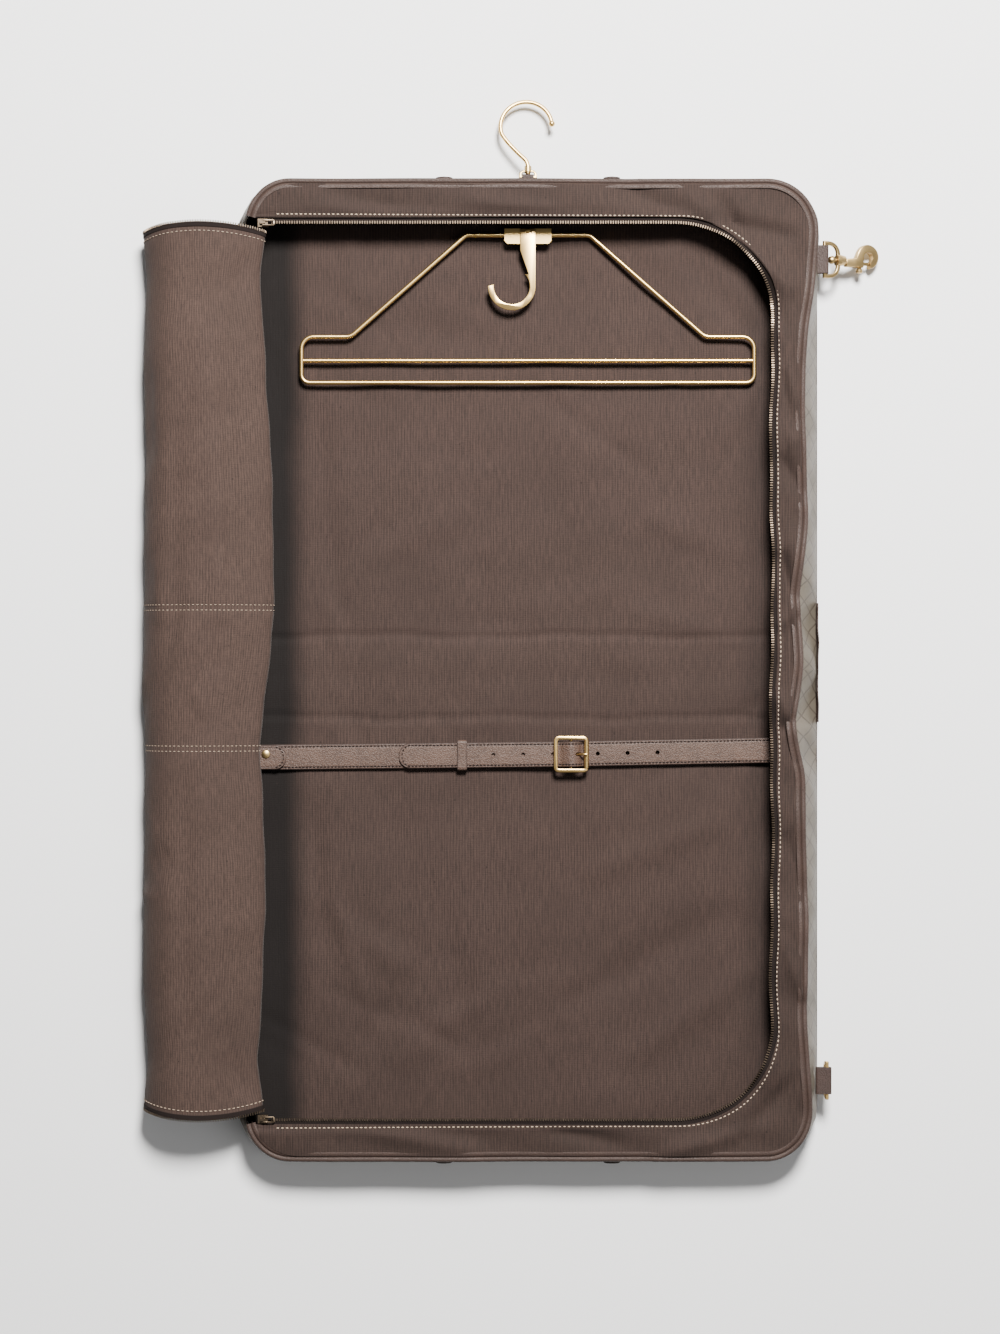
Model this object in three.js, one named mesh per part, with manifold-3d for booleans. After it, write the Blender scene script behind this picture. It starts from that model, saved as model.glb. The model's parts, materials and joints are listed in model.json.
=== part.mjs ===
// A bifold garment bag, open and lying on its back: millimetres, +X across, +Y towards the hook, +Z up
// out of the open front. The origin is the middle of the spine's underside.
import * as THREE from 'three';
import { mergeVertices } from 'three/addons/utils/BufferGeometryUtils.js';
import Module from 'manifold-3d';

const wasm = await Module();
wasm.setup();

// Overall sizes of the bag
const bagLength = 982;
const bagWidth = 583;
const bagDepth = 45;
const spineWidth = 128;
const cornerRadius = 54;
const frontInset = 8;
const endInset = 1;

// Panels, walls and seams
const backThickness = 11;
const wallThickness = 3;
const borderThickness = 2.4;
const frontPipingRadius = 3;
const backPipingRadius = 2.8;
const collapsedWall = 21;
const foldGap = 0.6;
const clearance = 0.4;

// The zip opening: its teeth run along the top, right and bottom, this far in from the bag's edges
const borderRight = 48.5;
const borderTop = 45;
const borderFoot = 43;
const zipCorner = 94;
const teethWidth = 3;
const teethHeight = 3.2;
const tapeWidth = 12;
const tapeThickness = 1;

// The rolled front flap on the left side
const rollOverlap = 33.5;
const rollWidth = 132;
const rollTop = 61;
const rollEndBulge = 9;

// Hanger of bent brass wire
const hangerWidth = 459;
const hangerTopWidth = 124;
const hangerShoulderWidth = 356;
const hangerFromTop = 54.5;
const hangerShoulderDrop = 102;
const crossbarDrop = 126;
const hangerHeight = 148;
const hangerWire = 4.5;
const hangerZ = 18.2;

// Fold-over bracket and flat hook on the hanger
const bracketWidth = 47;
const sleeveRadius = 3.6;
const flatHookThickness = 1.8;
const flatHookArm = 15.6;
const flatHookRing = 24;
const flatHookInner = 18;

// Hanging hook at the top edge
const topHookWire = 4.4;
const topHookRadius = 25.9;
const topHookReach = 53;
const hookEyeWire = 2.6;
const hookEyeWidth = 18;
const hookHingeZ = 24;
const hookDroop = 10;

// Snap hook and its ring
const sideFittingFromTop = 80.5;
const sideFittingZ = 30;
const snapDroop = 24;
const snapEyeWidth = 37;
const snapEyeThickness = 4;
const snapRingRadius = 12.3;
const snapBodyThickness = 7.2;
const boltRadius = 1.8;
const boltTravel = 8;
const ringWidth = 38;
const ringWire = 3.6;
const ringDepth = 22;

// Carry handles, folded flat into the back
const handleSpan = 168;
const handleReach = 78;
const handleWidth = 14;
const handleThickness = 5.8;
const handleCorner = 36;
const handleEdge = 15;
const pocketDepth = 8;

// Holding strap with its buckle
const strapY = -84.5;
const strapWidth = 25.5;
const strapThickness = 2.4;
const strapBase = backThickness + 1.9;
const strapTipX = -129;
const holePitch = 30;
const holeRadius = 2;
const buckleX = 43.3;
const buckleWidth = 34.7;
const buckleHeight = 36.6;
const buckleWire = 3.8;
const barWire = 3;
const rollerRadius = 2.5;
const keeperX = -66;
const keeperWidth = 10;

// Places that follow from the sizes above
const halfWidth = bagWidth / 2;
const halfLength = bagLength / 2;
const fold = spineWidth / 2;
const zipRight = halfWidth - borderRight;
const zipTop = halfLength - borderTop;
const zipBottom = halfLength - borderFoot;
const rollRight = -halfWidth + rollOverlap;
const rollLeft = rollRight - rollWidth;
const hangerTopY = halfLength - hangerFromTop;
const sideFittingY = halfLength - sideFittingFromTop;
const frontX = halfWidth - frontInset;
const frontY = halfLength - endInset;
const pipingZ = bagDepth - frontPipingRadius;
const wallTop = pipingZ - frontPipingRadius - clearance;
const wallBottom = backThickness + clearance;
const borderBottom = bagDepth - borderThickness;
const tapeTop = borderBottom - clearance;
const teethZ = tapeTop - tapeThickness / 2;
const borderEdge = teethWidth / 2 + 2;
const sliderX = rollRight - 6;

const materials = {
  lining: [0x645650, 0.9, 0],
  canvas: [0xa59e8f, 0.6, 0],
  leather: [0x86705f, 0.55, 0],
  tape: [0x3a2f2b, 0.9, 0],
  teeth: [0x6b5a45, 0.4, 1],
  brass: [0xc69d55, 0.25, 1],
  agedBrass: [0xb5965f, 0.35, 1],
  steel: [0x9a9a98, 0.3, 1],
};

const bag = new THREE.Group();

function addPiece(name, geometry, finish, parent = bag) {
  const [color, roughness, metalness] = materials[finish];
  const mesh = new THREE.Mesh(geometry, new THREE.MeshStandardMaterial({ color, roughness, metalness }));
  mesh.name = name;
  parent.add(mesh);
  return mesh;
}

// A boolean solid from a closed geometry, and back
function solidOf(geometry) {
  const plain = geometry.clone();
  for (const name of Object.keys(plain.attributes)) {
    if (name !== 'position') plain.deleteAttribute(name);
  }
  const merged = mergeVertices(plain, 1e-4);
  return new wasm.Manifold(new wasm.Mesh({
    numProp: 3,
    vertProperties: new Float32Array(merged.attributes.position.array),
    triVerts: new Uint32Array(merged.index.array),
  }));
}

function geometryOf(solid) {
  const mesh = solid.getMesh();
  const geometry = new THREE.BufferGeometry();
  geometry.setAttribute('position', new THREE.BufferAttribute(new Float32Array(mesh.vertProperties), 3));
  geometry.setIndex(new THREE.BufferAttribute(new Uint32Array(mesh.triVerts), 1));
  geometry.computeVertexNormals();
  return geometry;
}

function joined(first, ...others) {
  return geometryOf(others.reduce((sum, next) => sum.add(solidOf(next)), solidOf(first)));
}

function cutBy(first, ...tools) {
  return geometryOf(tools.reduce((rest, tool) => rest.subtract(solidOf(tool)), solidOf(first)));
}

function box(x0, x1, y0, y1, z0, z1) {
  return new THREE.BoxGeometry(x1 - x0, y1 - y0, z1 - z0).translate((x0 + x1) / 2, (y0 + y1) / 2, (z0 + z1) / 2);
}

function prism(points, z0, z1, holes = []) {
  const shape = new THREE.Shape(points);
  shape.holes = holes.map((hole) => new THREE.Path(hole));
  return new THREE.ExtrudeGeometry(shape, { depth: z1 - z0, bevelEnabled: false }).translate(0, 0, z0);
}

// A plate with softened edges, centred on z = 0
function softPlate(points, thickness, bevel, holes = []) {
  const shape = new THREE.Shape(points);
  shape.holes = holes.map((hole) => new THREE.Path(hole));
  const settings = { depth: thickness - 2 * bevel, bevelThickness: bevel, bevelSize: bevel, bevelOffset: -bevel,
    bevelSegments: 2 };
  return new THREE.ExtrudeGeometry(shape, settings).translate(0, 0, bevel - thickness / 2);
}

const axisX = new THREE.Vector3(1, 0, 0);
const axisY = new THREE.Vector3(0, 1, 0);
const axisZ = new THREE.Vector3(0, 0, 1);

// Prisms along X from (y, z) points, and along Y from (z, x) points
const alongX = (points, x0, x1) => prism(points, x0, x1).applyMatrix4(new THREE.Matrix4().makeBasis(axisY, axisZ, axisX));
const alongY = (points, y0, y1) => prism(points, y0, y1).applyMatrix4(new THREE.Matrix4().makeBasis(axisZ, axisX, axisY));

function circle(x, y, radius, sides = 16) {
  return Array.from({ length: sides }, (_, i) => {
    const angle = (2 * Math.PI * i) / sides;
    return new THREE.Vector2(x + radius * Math.cos(angle), y + radius * Math.sin(angle));
  });
}

// Corner points joined by straight lines, with an arc of the given radius at each inner corner
function rounded(corners, radii, closed = false, steps = 6) {
  const points = [];
  corners.forEach((corner, i) => {
    const radius = Array.isArray(radii) ? radii[i] : radii;
    const end = !closed && (i === 0 || i === corners.length - 1);
    if (end || !radius) {
      points.push(corner.clone());
      return;
    }
    const before = corners[(i + corners.length - 1) % corners.length].clone().sub(corner).normalize();
    const after = corners[(i + 1) % corners.length].clone().sub(corner).normalize();
    const half = Math.acos(THREE.MathUtils.clamp(before.dot(after), -1, 1)) / 2;
    const reach = radius / Math.tan(half);
    const start = corner.clone().addScaledVector(before, reach);
    const centre = corner.clone().addScaledVector(before.clone().add(after).normalize(), radius / Math.sin(half));
    const from = start.clone().sub(centre);
    const to = corner.clone().addScaledVector(after, reach).sub(centre);
    const turn = Math.PI - 2 * half;
    for (let k = 0; k <= steps; k += 1) {
      const part = (k / steps) * turn;
      const a = Math.sin(turn - part) / Math.sin(turn);
      const b = Math.sin(part) / Math.sin(turn);
      points.push(centre.clone().addScaledVector(from, a).addScaledVector(to, b));
    }
  });
  return points;
}

const flat = (pairs) => pairs.map(([x, y]) => new THREE.Vector2(x, y));
const spatial = (triples) => triples.map(([x, y, z]) => new THREE.Vector3(x, y, z));

function rectangle(x0, x1, y0, y1, radius, steps = 8) {
  return rounded(flat([[x0, y0], [x1, y0], [x1, y1], [x0, y1]]), radius, true, steps);
}

// A curve through listed points that is sampled exactly at them
class WirePath extends THREE.Curve {
  constructor(points) {
    super();
    this.points = points;
  }

  getPoint(t, target = new THREE.Vector3()) {
    const place = t * (this.points.length - 1);
    const i = Math.min(Math.floor(place), this.points.length - 2);
    return target.lerpVectors(this.points[i], this.points[i + 1], place - i);
  }

  getPointAt(u, target) {
    return this.getPoint(u, target);
  }

  getTangentAt(u, target = new THREE.Vector3()) {
    const last = this.points.length - 1;
    const i = Math.round(u * last);
    const here = this.points[i];
    const ahead = this.points[Math.min(i + 1, last)].clone().sub(here).normalize();
    const behind = here.clone().sub(this.points[Math.max(i - 1, 0)]).normalize();
    return target.addVectors(ahead, behind).normalize();
  }
}

function wire(points, radius, sides = 8) {
  const section = new THREE.Shape(circle(0, 0, radius, sides));
  return new THREE.ExtrudeGeometry(section, { steps: points.length - 1, extrudePath: new WirePath(points) });
}

// A turned solid about the X axis from (x, radius) pairs
function turnedX(pairs, sides = 16) {
  const profile = pairs.map(([x, radius]) => new THREE.Vector2(radius, x));
  return new THREE.LatheGeometry(profile, sides).rotateZ(-Math.PI / 2);
}

const rodX = (x0, x1, radius, sides = 12) => turnedX([[x0, 0], [x0, radius], [x1, radius], [x1, 0]], sides);
const rodY = (y0, y1, radius, sides = 12) => rodX(y0, y1, radius, sides).rotateZ(Math.PI / 2);
const rodZ = (z0, z1, radius, sides = 16) => rodX(z0, z1, radius, sides).rotateY(-Math.PI / 2);

// The part of a geometry between two heights along Y, and on one side if asked
function part(geometry, y0, y1, x0 = -2 * bagWidth, x1 = 2 * bagWidth) {
  return geometryOf(solidOf(geometry).intersect(solidOf(box(x0, x1, y0, y1, -bagDepth, 3 * bagDepth))));
}

// Whatever crosses the two fold lines is cut into an upper, a spine and a lower piece
function addFolded(name, geometry, finish, sides = false) {
  addPiece(`${name}_upper`, part(geometry, fold + foldGap / 2, bagLength), finish);
  addPiece(`${name}_lower`, part(geometry, -bagLength, -fold - foldGap / 2), finish);
  const ends = [-fold + foldGap / 2, fold - foldGap / 2];
  if (sides) {
    addPiece(`${name}_spine_left`, part(geometry, ...ends, -2 * bagWidth, 0), finish);
    addPiece(`${name}_spine_right`, part(geometry, ...ends, 0), finish);
  } else {
    addPiece(`${name}_spine`, part(geometry, ...ends), finish);
  }
}

// Padded back panel, with a shallow pocket in its underside for each folded handle
const handleAxisY = halfLength - handleEdge;
const pocketSide = handleSpan / 2 + handleWidth / 2 + 6;

function buildBackPanel() {
  const edge = 2 * backPipingRadius + clearance;
  const outline = rectangle(-halfWidth + edge, halfWidth - edge, -halfLength + edge, halfLength - edge,
    cornerRadius - edge);
  const inner = handleAxisY - handleReach - handleWidth;
  const pockets = [1, -1].map((side) => box(-pocketSide, pocketSide, Math.min(side * inner, side * bagLength),
    Math.max(side * inner, side * bagLength), -1, pocketDepth));
  addFolded('back', cutBy(prism(outline, 0, backThickness), ...pockets), 'canvas');
}

// Gusset walls lean in from the back outline to the smaller front outline
function leanIn(geometry) {
  const at = geometry.attributes.position;
  for (let i = 0; i < at.count; i += 1) {
    const share = (at.getZ(i) - wallBottom) / (wallTop - wallBottom);
    at.setX(i, at.getX(i) * (1 - (share * frontInset) / halfWidth));
    at.setY(i, at.getY(i) * (1 - (share * endInset) / halfLength));
  }
  return geometry;
}

function buildGusset() {
  const ring = prism(rectangle(-halfWidth, halfWidth, -halfLength, halfLength, cornerRadius), wallBottom, wallTop,
    [rectangle(-halfWidth + wallThickness, halfWidth - wallThickness, -halfLength + wallThickness,
      halfLength - wallThickness, cornerRadius - wallThickness).reverse()]);
  const underRoll = box(-bagWidth, rollRight, -zipBottom - 4, zipTop + 4, collapsedWall, bagDepth);
  addFolded('gusset', cutBy(leanIn(ring), underRoll), 'canvas', true);
}

// Piping along the back seam and along the open front edge
function addPiping(name, side) {
  const start = side * (fold + foldGap / 2);
  const backX = halfWidth - backPipingRadius;
  const backY = side * (halfLength - backPipingRadius);
  const backZ = backThickness - backPipingRadius;
  const back = [[-backX, start, backZ], [-backX, backY, backZ], [backX, backY, backZ], [backX, start, backZ]];
  addPiece(`back_piping_${name}`, wire(rounded(spatial(back), cornerRadius - backPipingRadius), backPipingRadius),
    'leather');
  const x = frontX - frontPipingRadius;
  const y = side * (frontY - frontPipingRadius);
  const low = side * (side > 0 ? zipTop : zipBottom) + side * borderEdge;
  const front = [[-x, low, pipingZ], [-x, y, pipingZ], [x, y, pipingZ], [x, start, pipingZ]];
  const bends = [0, Math.abs(y - low) - 0.5, cornerRadius - frontPipingRadius, 0];
  addPiece(`front_piping_${name}`, wire(rounded(spatial(front), bends), frontPipingRadius), 'leather');
}

function buildPiping() {
  addPiping('upper', 1);
  addPiping('lower', -1);
  const end = fold - foldGap / 2;
  const backX = halfWidth - backPipingRadius;
  for (const [side, sign] of [['left', -1], ['right', 1]]) {
    const straight = spatial([[sign * backX, -end, backThickness - backPipingRadius],
      [sign * backX, end, backThickness - backPipingRadius]]);
    addPiece(`back_piping_spine_${side}`, wire(straight, backPipingRadius), 'leather');
  }
  const x = frontX - frontPipingRadius;
  addPiece('front_piping_spine', wire(spatial([[x, -end, pipingZ], [x, end, pipingZ]]), frontPipingRadius),
    'leather');
}

// The line of the zip's teeth moved outward by a distance, open towards the left
function zipLine(outward, left) {
  const corners = flat([[left, zipTop + outward], [zipRight + outward, zipTop + outward],
    [zipRight + outward, -zipBottom - outward], [left, -zipBottom - outward]]);
  return rounded(corners, zipCorner + outward);
}

const zipBand = (from, to, left) => [...zipLine(from, left), ...zipLine(to, left).reverse()];

function buildFrontFrame() {
  const edge = 2 * frontPipingRadius + clearance;
  const outline = rectangle(-frontX + edge, frontX - edge, -frontY + edge, frontY - edge, cornerRadius - edge);
  const opening = prism(zipLine(borderEdge, -bagWidth), 0, 2 * bagDepth);
  addFolded('border', cutBy(prism(outline, borderBottom, bagDepth), opening), 'lining');
  const left = -frontX + 3 * edge;
  const tape = prism(zipBand(0, tapeWidth, left), tapeTop - tapeThickness, tapeTop);
  const teeth = prism(zipBand(-teethWidth / 2, teethWidth / 2, left), teethZ - teethHeight / 2,
    teethZ + teethHeight / 2);
  addFolded('zip_tape', joined(tape, teeth), 'tape');
}

// The flap is rolled outward over the collapsed left wall; its ends bulge a little
function buildRoll() {
  const lift = collapsedWall + 3;
  const section = new THREE.SplineCurve([[rollRight, 44], [rollRight - 9, 55], [rollRight - 36, rollTop],
    [rollRight - 76, rollTop - 2], [rollLeft + 20, 49], [rollLeft + 3, 36], [rollLeft, 24], [rollLeft + 8, 8],
    [rollLeft + 30, 1.5], [rollLeft + 60, 3], [rollLeft + 84, 13], [rollLeft + 98, lift],
    [rollRight - 20, lift + 4], [rollRight - 5, lift + 11], [rollRight, 44]].map(([x, z]) => new THREE.Vector2(z, x)));
  const outline = section.getPoints(42).slice(0, -1);
  const long = alongY(outline, -zipBottom - rollEndBulge, zipTop + rollEndBulge);
  const bulge = (end) => new THREE.QuadraticBezierCurve(new THREE.Vector2(rollRight, end - rollEndBulge),
    new THREE.Vector2((rollLeft + rollRight) / 2, end + rollEndBulge - 2),
    new THREE.Vector2(rollLeft, end - rollEndBulge)).getPoints(8);
  const top = bulge(zipTop - clearance);
  const bottom = bulge(zipBottom - clearance).map((p) => new THREE.Vector2(p.x, -p.y)).reverse();
  const plan = prism([...top, ...bottom], -bagDepth, 3 * bagDepth);
  addFolded('flap_roll', geometryOf(solidOf(long).intersect(solidOf(plan))), 'lining');
}

// Zip slider: a channel round the teeth, a bridge on top and a pull that swings over it
const sliderLength = 10;
const sliderWall = 1.3;
const bridgeHeight = 3.4;
const pullBar = 1.3;

function addSlider(name, y, side) {
  const low = teethZ - teethHeight / 2 - clearance;
  const high = teethZ + teethHeight / 2 + clearance;
  const inner = -teethWidth / 2 - clearance;
  const outer = borderEdge - clearance;
  const channel = flat([[outer, low - sliderWall], [outer, low], [inner, low], [inner, high], [outer, high],
    [outer, high + sliderWall], [inner - 3, high + sliderWall], [inner - 3, low - sliderWall]]).reverse();
  const body = alongX(channel, -sliderLength / 2, sliderLength / 2);
  const top = high + sliderWall;
  const pinZ = top + bridgeHeight / 2 + 0.2;
  const bridge = prism(flat([[-2.5, -1.2], [2.5, -1.2], [2.5, 1.2], [-2.5, 1.2]]), top - 0.2, top + bridgeHeight);
  const hole = rodY(-3, 3, pullBar / 2 + clearance + 0.2).translate(0, 0, pinZ);
  const middle = (inner - 3 + outer) / 2;
  const loop = softPlate(flat([[-pullBar / 2, -3.2], [11, -3.2], [12.5, -1.7], [12.5, 1.7], [11, 3.2],
    [-pullBar / 2, 3.2]]), pullBar, 0.2, [flat([[pullBar / 2, -1.9], [pullBar / 2, 1.9], [10.6, 1.9],
    [10.6, -1.9]])]);
  const group = new THREE.Group();
  group.position.set(sliderX, y, 0);
  group.rotation.z = side > 0 ? 0 : Math.PI;
  const slider = joined(body, cutBy(bridge.translate(0, middle, 0), hole.translate(0, middle, 0)));
  addPiece(`zip_slider_${name}`, slider, 'agedBrass', group);
  const pull = addPiece(`zip_pull_${name}`, loop, 'agedBrass', group);
  pull.position.set(0, middle, pinZ);
  pull.rotation.z = side > 0 ? 0 : Math.PI;
  bag.add(group);
}

// Hanger: one bent wire whose ends meet inside the bracket, and a crossbar
function buildHanger() {
  const x = hangerWidth / 2 - hangerWire / 2;
  const shoulder = hangerShoulderWidth / 2;
  const shoulderY = hangerTopY - hangerShoulderDrop;
  const bottomY = hangerTopY - hangerHeight;
  const half = [[clearance, hangerTopY, hangerZ], [hangerTopWidth / 2, hangerTopY, hangerZ],
    [shoulder, shoulderY, hangerZ], [x, shoulderY, hangerZ], [x, bottomY, hangerZ]];
  const loop = [...half, ...half.map(([px, py, pz]) => [-px, py, pz]).reverse()];
  const outer = wire(rounded(spatial(loop), [0, 8, 12, 12, 8, 8, 12, 12, 8, 0], false, 4), hangerWire / 2);
  addPiece('hanger_wire', outer, 'brass');
  const end = x - hangerWire / 2 - clearance;
  addPiece('hanger_crossbar', rodX(-end, end, hangerWire / 2, 8)
    .translate(0, hangerTopY - crossbarDrop, hangerZ), 'brass');

  const top = hangerZ + sleeveRadius;
  const bore = hangerWire / 2 + clearance;
  const leaf = 1.6;
  const sleeve = rodX(-bracketWidth / 2, bracketWidth / 2, sleeveRadius, 16).translate(0, hangerTopY, hangerZ);
  const lug = 3;
  const leaves = prism(flat([[-bracketWidth / 2, 6.2], [-bracketWidth / 2, -6], [-bracketWidth / 2 + lug, -9],
    [bracketWidth / 2 - lug, -9], [bracketWidth / 2, -6], [bracketWidth / 2, 6.2]]), top - leaf, top)
    .translate(0, hangerTopY, 0);
  const hole = rodX(-bracketWidth, bracketWidth, bore, 16).translate(0, hangerTopY, hangerZ);
  addPiece('hanger_bracket', cutBy(joined(sleeve, leaves), hole), 'brass');

  // The flat hook's arm tapers on its left into the ring, which stops short of a full turn
  const armRight = flatHookArm / 2;
  const ringX = armRight - flatHookRing;
  const ringY = -46 - 6;
  const outline = [[-armRight, 6], [-armRight, -16], [-armRight + 8.5, -40]];
  const inside = new THREE.EllipseCurve(ringX, ringY, flatHookInner, flatHookInner, 0.75, -Math.PI - 0.12, true);
  const outside = new THREE.EllipseCurve(ringX, ringY, flatHookRing, flatHookRing, -Math.PI - 0.02, 0, false);
  const points = [...flat(outline), ...inside.getPoints(20), ...outside.getPoints(20), ...flat([[armRight, 6]])];
  const hook = softPlate(points.reverse(), flatHookThickness, 0.4)
    .translate(0, hangerTopY, top + clearance + flatHookThickness / 2);
  addPiece('hanger_flat_hook', hook, 'brass');
  const rivet = turnedX([[0, 0], [0, 2.4], [0.7, 1.8], [1, 0]]).rotateY(-Math.PI / 2)
    .translate(0, hangerTopY + 3.4, top + 2 * clearance + flatHookThickness);
  addPiece('hanger_rivet', rivet, 'brass');
}

// A D-shaped ring with its straight bar along Y through the origin and its bow towards +X
function dOutline(width, depth, boss, inset) {
  const half = width / 2 - inset;
  const bow = new THREE.CubicBezierCurve(new THREE.Vector2(depth * 0.22, half),
    new THREE.Vector2(depth * 0.75, half), new THREE.Vector2(depth - inset, half * 0.55 + boss * 0.2),
    new THREE.Vector2(depth - inset, boss)).getPoints(6);
  return [...bow.map((p) => new THREE.Vector2(p.x, -p.y)), ...bow.reverse()];
}

function dRing(width, depth, wireSize, boss) {
  const hole = [...dOutline(width, depth, boss * 0.6, wireSize), ...flat([[wireSize / 2, width / 2 - wireSize],
    [wireSize / 2, -width / 2 + wireSize]])];
  const outer = [...dOutline(width, depth, boss, 0), ...flat([[-wireSize / 2, width / 2],
    [-wireSize / 2, -width / 2]])];
  return softPlate(outer, wireSize, wireSize * 0.2, [hole.reverse()]);
}

// Leather or metal tab with a bore along Y for a ring's bar; x runs outward from the bag
function tab(x0, x1, barX, width, thickness, bore) {
  const body = alongY(rectangle(-thickness / 2, thickness / 2, x0, x1, thickness * 0.3, 3), -width / 2, width / 2);
  return cutBy(body, rodY(-width, width, bore, 12).translate(barX, 0, 0));
}

// Height of the leaning wall's outer face in from the back outline
const leanAt = (z, inset) => (inset * (z - wallBottom)) / (wallTop - wallBottom);

function buildTopHook() {
  const wallY = halfLength - leanAt(hookHingeZ - 3, endInset) + clearance;
  const barY = wallY + hookEyeWire / 2 + 1.6;
  const holder = tab(-(barY - wallY), 2.6, 0, hookEyeWidth - 2 * hookEyeWire - 1, 5.4, hookEyeWire / 2 + 0.8)
    .rotateZ(Math.PI / 2).translate(0, barY, hookHingeZ);
  addPiece('hook_tab', holder, 'leather');
  const group = new THREE.Group();
  group.position.set(0, barY, hookHingeZ);
  group.rotation.x = THREE.MathUtils.degToRad(-hookDroop);
  const eyeDepth = 7.4;
  const collar = 3.6;
  const stem = topHookWire / 2;
  const eye = joined(dRing(hookEyeWidth, eyeDepth, hookEyeWire, 3.2),
    rodX(eyeDepth - hookEyeWire, eyeDepth + collar, collar));
  const bored = cutBy(eye, rodX(2.8, eyeDepth + 2 * collar, stem + clearance)).rotateZ(Math.PI / 2);
  addPiece('hook_eye', bored, 'brass', group);
  const base = eyeDepth + collar + clearance;
  const neck = new THREE.CatmullRomCurve3(spatial([[0, base, 0], [-2.2, base + 6, 0], [-9.3, 24.5, 0],
    [-19.4, 35.4, 0], [-25.6, 44, 0]])).getPoints(9);
  const bow = new THREE.EllipseCurve(-1.6, topHookReach, topHookRadius, topHookRadius, Math.PI + 0.2, 0.12, true)
    .getPoints(18).map((p) => new THREE.Vector3(p.x, p.y, 0));
  const tip = bow[bow.length - 1];
  const ball = new THREE.SphereGeometry(3.2, 12, 8).translate(tip.x, tip.y, 0);
  const pin = rodX(3.3, base + 1, stem - 0.4).rotateZ(Math.PI / 2);
  const head = rodX(3.2, 4.3, 2.5).rotateZ(Math.PI / 2);
  addPiece('top_hook', joined(wire([...neck, ...bow], stem), ball, pin, head), 'brass', group);
  bag.add(group);
}

function buildSnapHook() {
  const wallX = halfWidth - leanAt(sideFittingZ - 4, frontInset) + clearance;
  const barX = halfWidth + 5.5;
  const outer = 3.4;
  const snapTab = tab(wallX - barX, outer, 0, snapEyeWidth - 2 * snapEyeThickness - 1, 7, snapEyeThickness * 0.72);
  addPiece('snap_tab', snapTab.translate(barX, sideFittingY, sideFittingZ), 'leather');
  const group = new THREE.Group();
  group.position.set(barX, sideFittingY, sideFittingZ);
  group.rotation.y = THREE.MathUtils.degToRad(snapDroop);
  const eyeDepth = 17;
  const collarEnd = 22.6;
  const post = 2.1;
  const collar = turnedX([[eyeDepth - 4, 0], [eyeDepth - 4, 5.6], [eyeDepth, 5.8], [collarEnd, 4.6],
    [collarEnd, 0]]);
  const eye = cutBy(joined(dRing(snapEyeWidth, eyeDepth, snapEyeThickness, 5), collar),
    rodX(7, collarEnd + 2, post + clearance));
  addPiece('snap_eye', eye, 'agedBrass', group);

  const bodyStart = collarEnd + clearance;
  const axisDown = -2.2;
  const ringX = 48.4;
  const ringAt = 5;
  const outline = [...flat([[bodyStart, 1.9], [bodyStart, -5.9], [41.5, -6.1]])];
  const ring = new THREE.EllipseCurve(ringX, ringAt, snapRingRadius, snapRingRadius, -Math.PI * 0.52,
    Math.PI * 0.86, false).getPoints(18);
  const plate = softPlate([...outline, ...ring, ...flat([[34, 3]])], snapBodyThickness, 1.4);
  const inner = prism(circle(ringX, ringAt - 0.6, 5.3, 14), -5, 5);
  const mouth = box(42.5, 50.5, -12, 2, -5, 5);
  const boreStart = bodyStart + 2;
  const bore = rodX(boreStart, 43, boltRadius + 0.3);
  const slot = box(boreStart + 2.6, 42, -8, axisDown, -1.5, 1.5);
  const stem = joined(rodX(8.6, bodyStart + 1, post), turnedX([[5.2, 0], [5.2, 3.2], [7, 4.2], [9, 4.2],
    [9.6, 3.2], [9.6, 0]]));
  const snap = joined(cutBy(plate, inner, mouth, bore.translate(0, axisDown, 0), slot), stem);
  addPiece('snap_hook', snap, 'agedBrass', group);
  const tail = boreStart + boltTravel + 3.4;
  const knobX = tail + 3;
  const knob = joined(rodX(tail, 50, boltRadius).translate(0, axisDown, 0),
    rodY(-8.4, axisDown, 1.1).translate(knobX, 0, 0),
    turnedX([[0, 0], [0, 2.2], [2, 3.6], [4.4, 3.2], [5.4, 0]]).rotateZ(-Math.PI / 2).translate(knobX, -6.9, 0));
  addPiece('snap_bolt', knob, 'agedBrass', group);
  const turns = 5;
  const coil = Array.from({ length: turns * 10 + 1 }, (_, i) => {
    const angle = (i * 2 * Math.PI) / 10;
    const along = boreStart + 0.6 + ((tail - boreStart - 1.2) * i) / (turns * 10);
    return new THREE.Vector3(along, axisDown + 1.3 * Math.cos(angle), 1.3 * Math.sin(angle));
  });
  addPiece('snap_spring', wire(coil, 0.28, 5), 'steel', group);
  bag.add(group);
}

function buildSideRing() {
  const wallX = halfWidth - leanAt(sideFittingZ - 4, frontInset) + clearance;
  const barX = halfWidth + 7.5;
  const bore = ringWire * 0.72;
  const holder = tab(wallX - barX, 4.4, 0, ringWidth - 2 * ringWire - 4, 7, bore);
  addPiece('ring_tab', holder.translate(barX, -sideFittingY, sideFittingZ), 'leather');
  const ring = dRing(ringWidth, ringDepth, ringWire, 2).rotateY(Math.PI / 2);
  addPiece('side_ring', ring.translate(barX, -sideFittingY, sideFittingZ), 'agedBrass');
}

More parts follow.
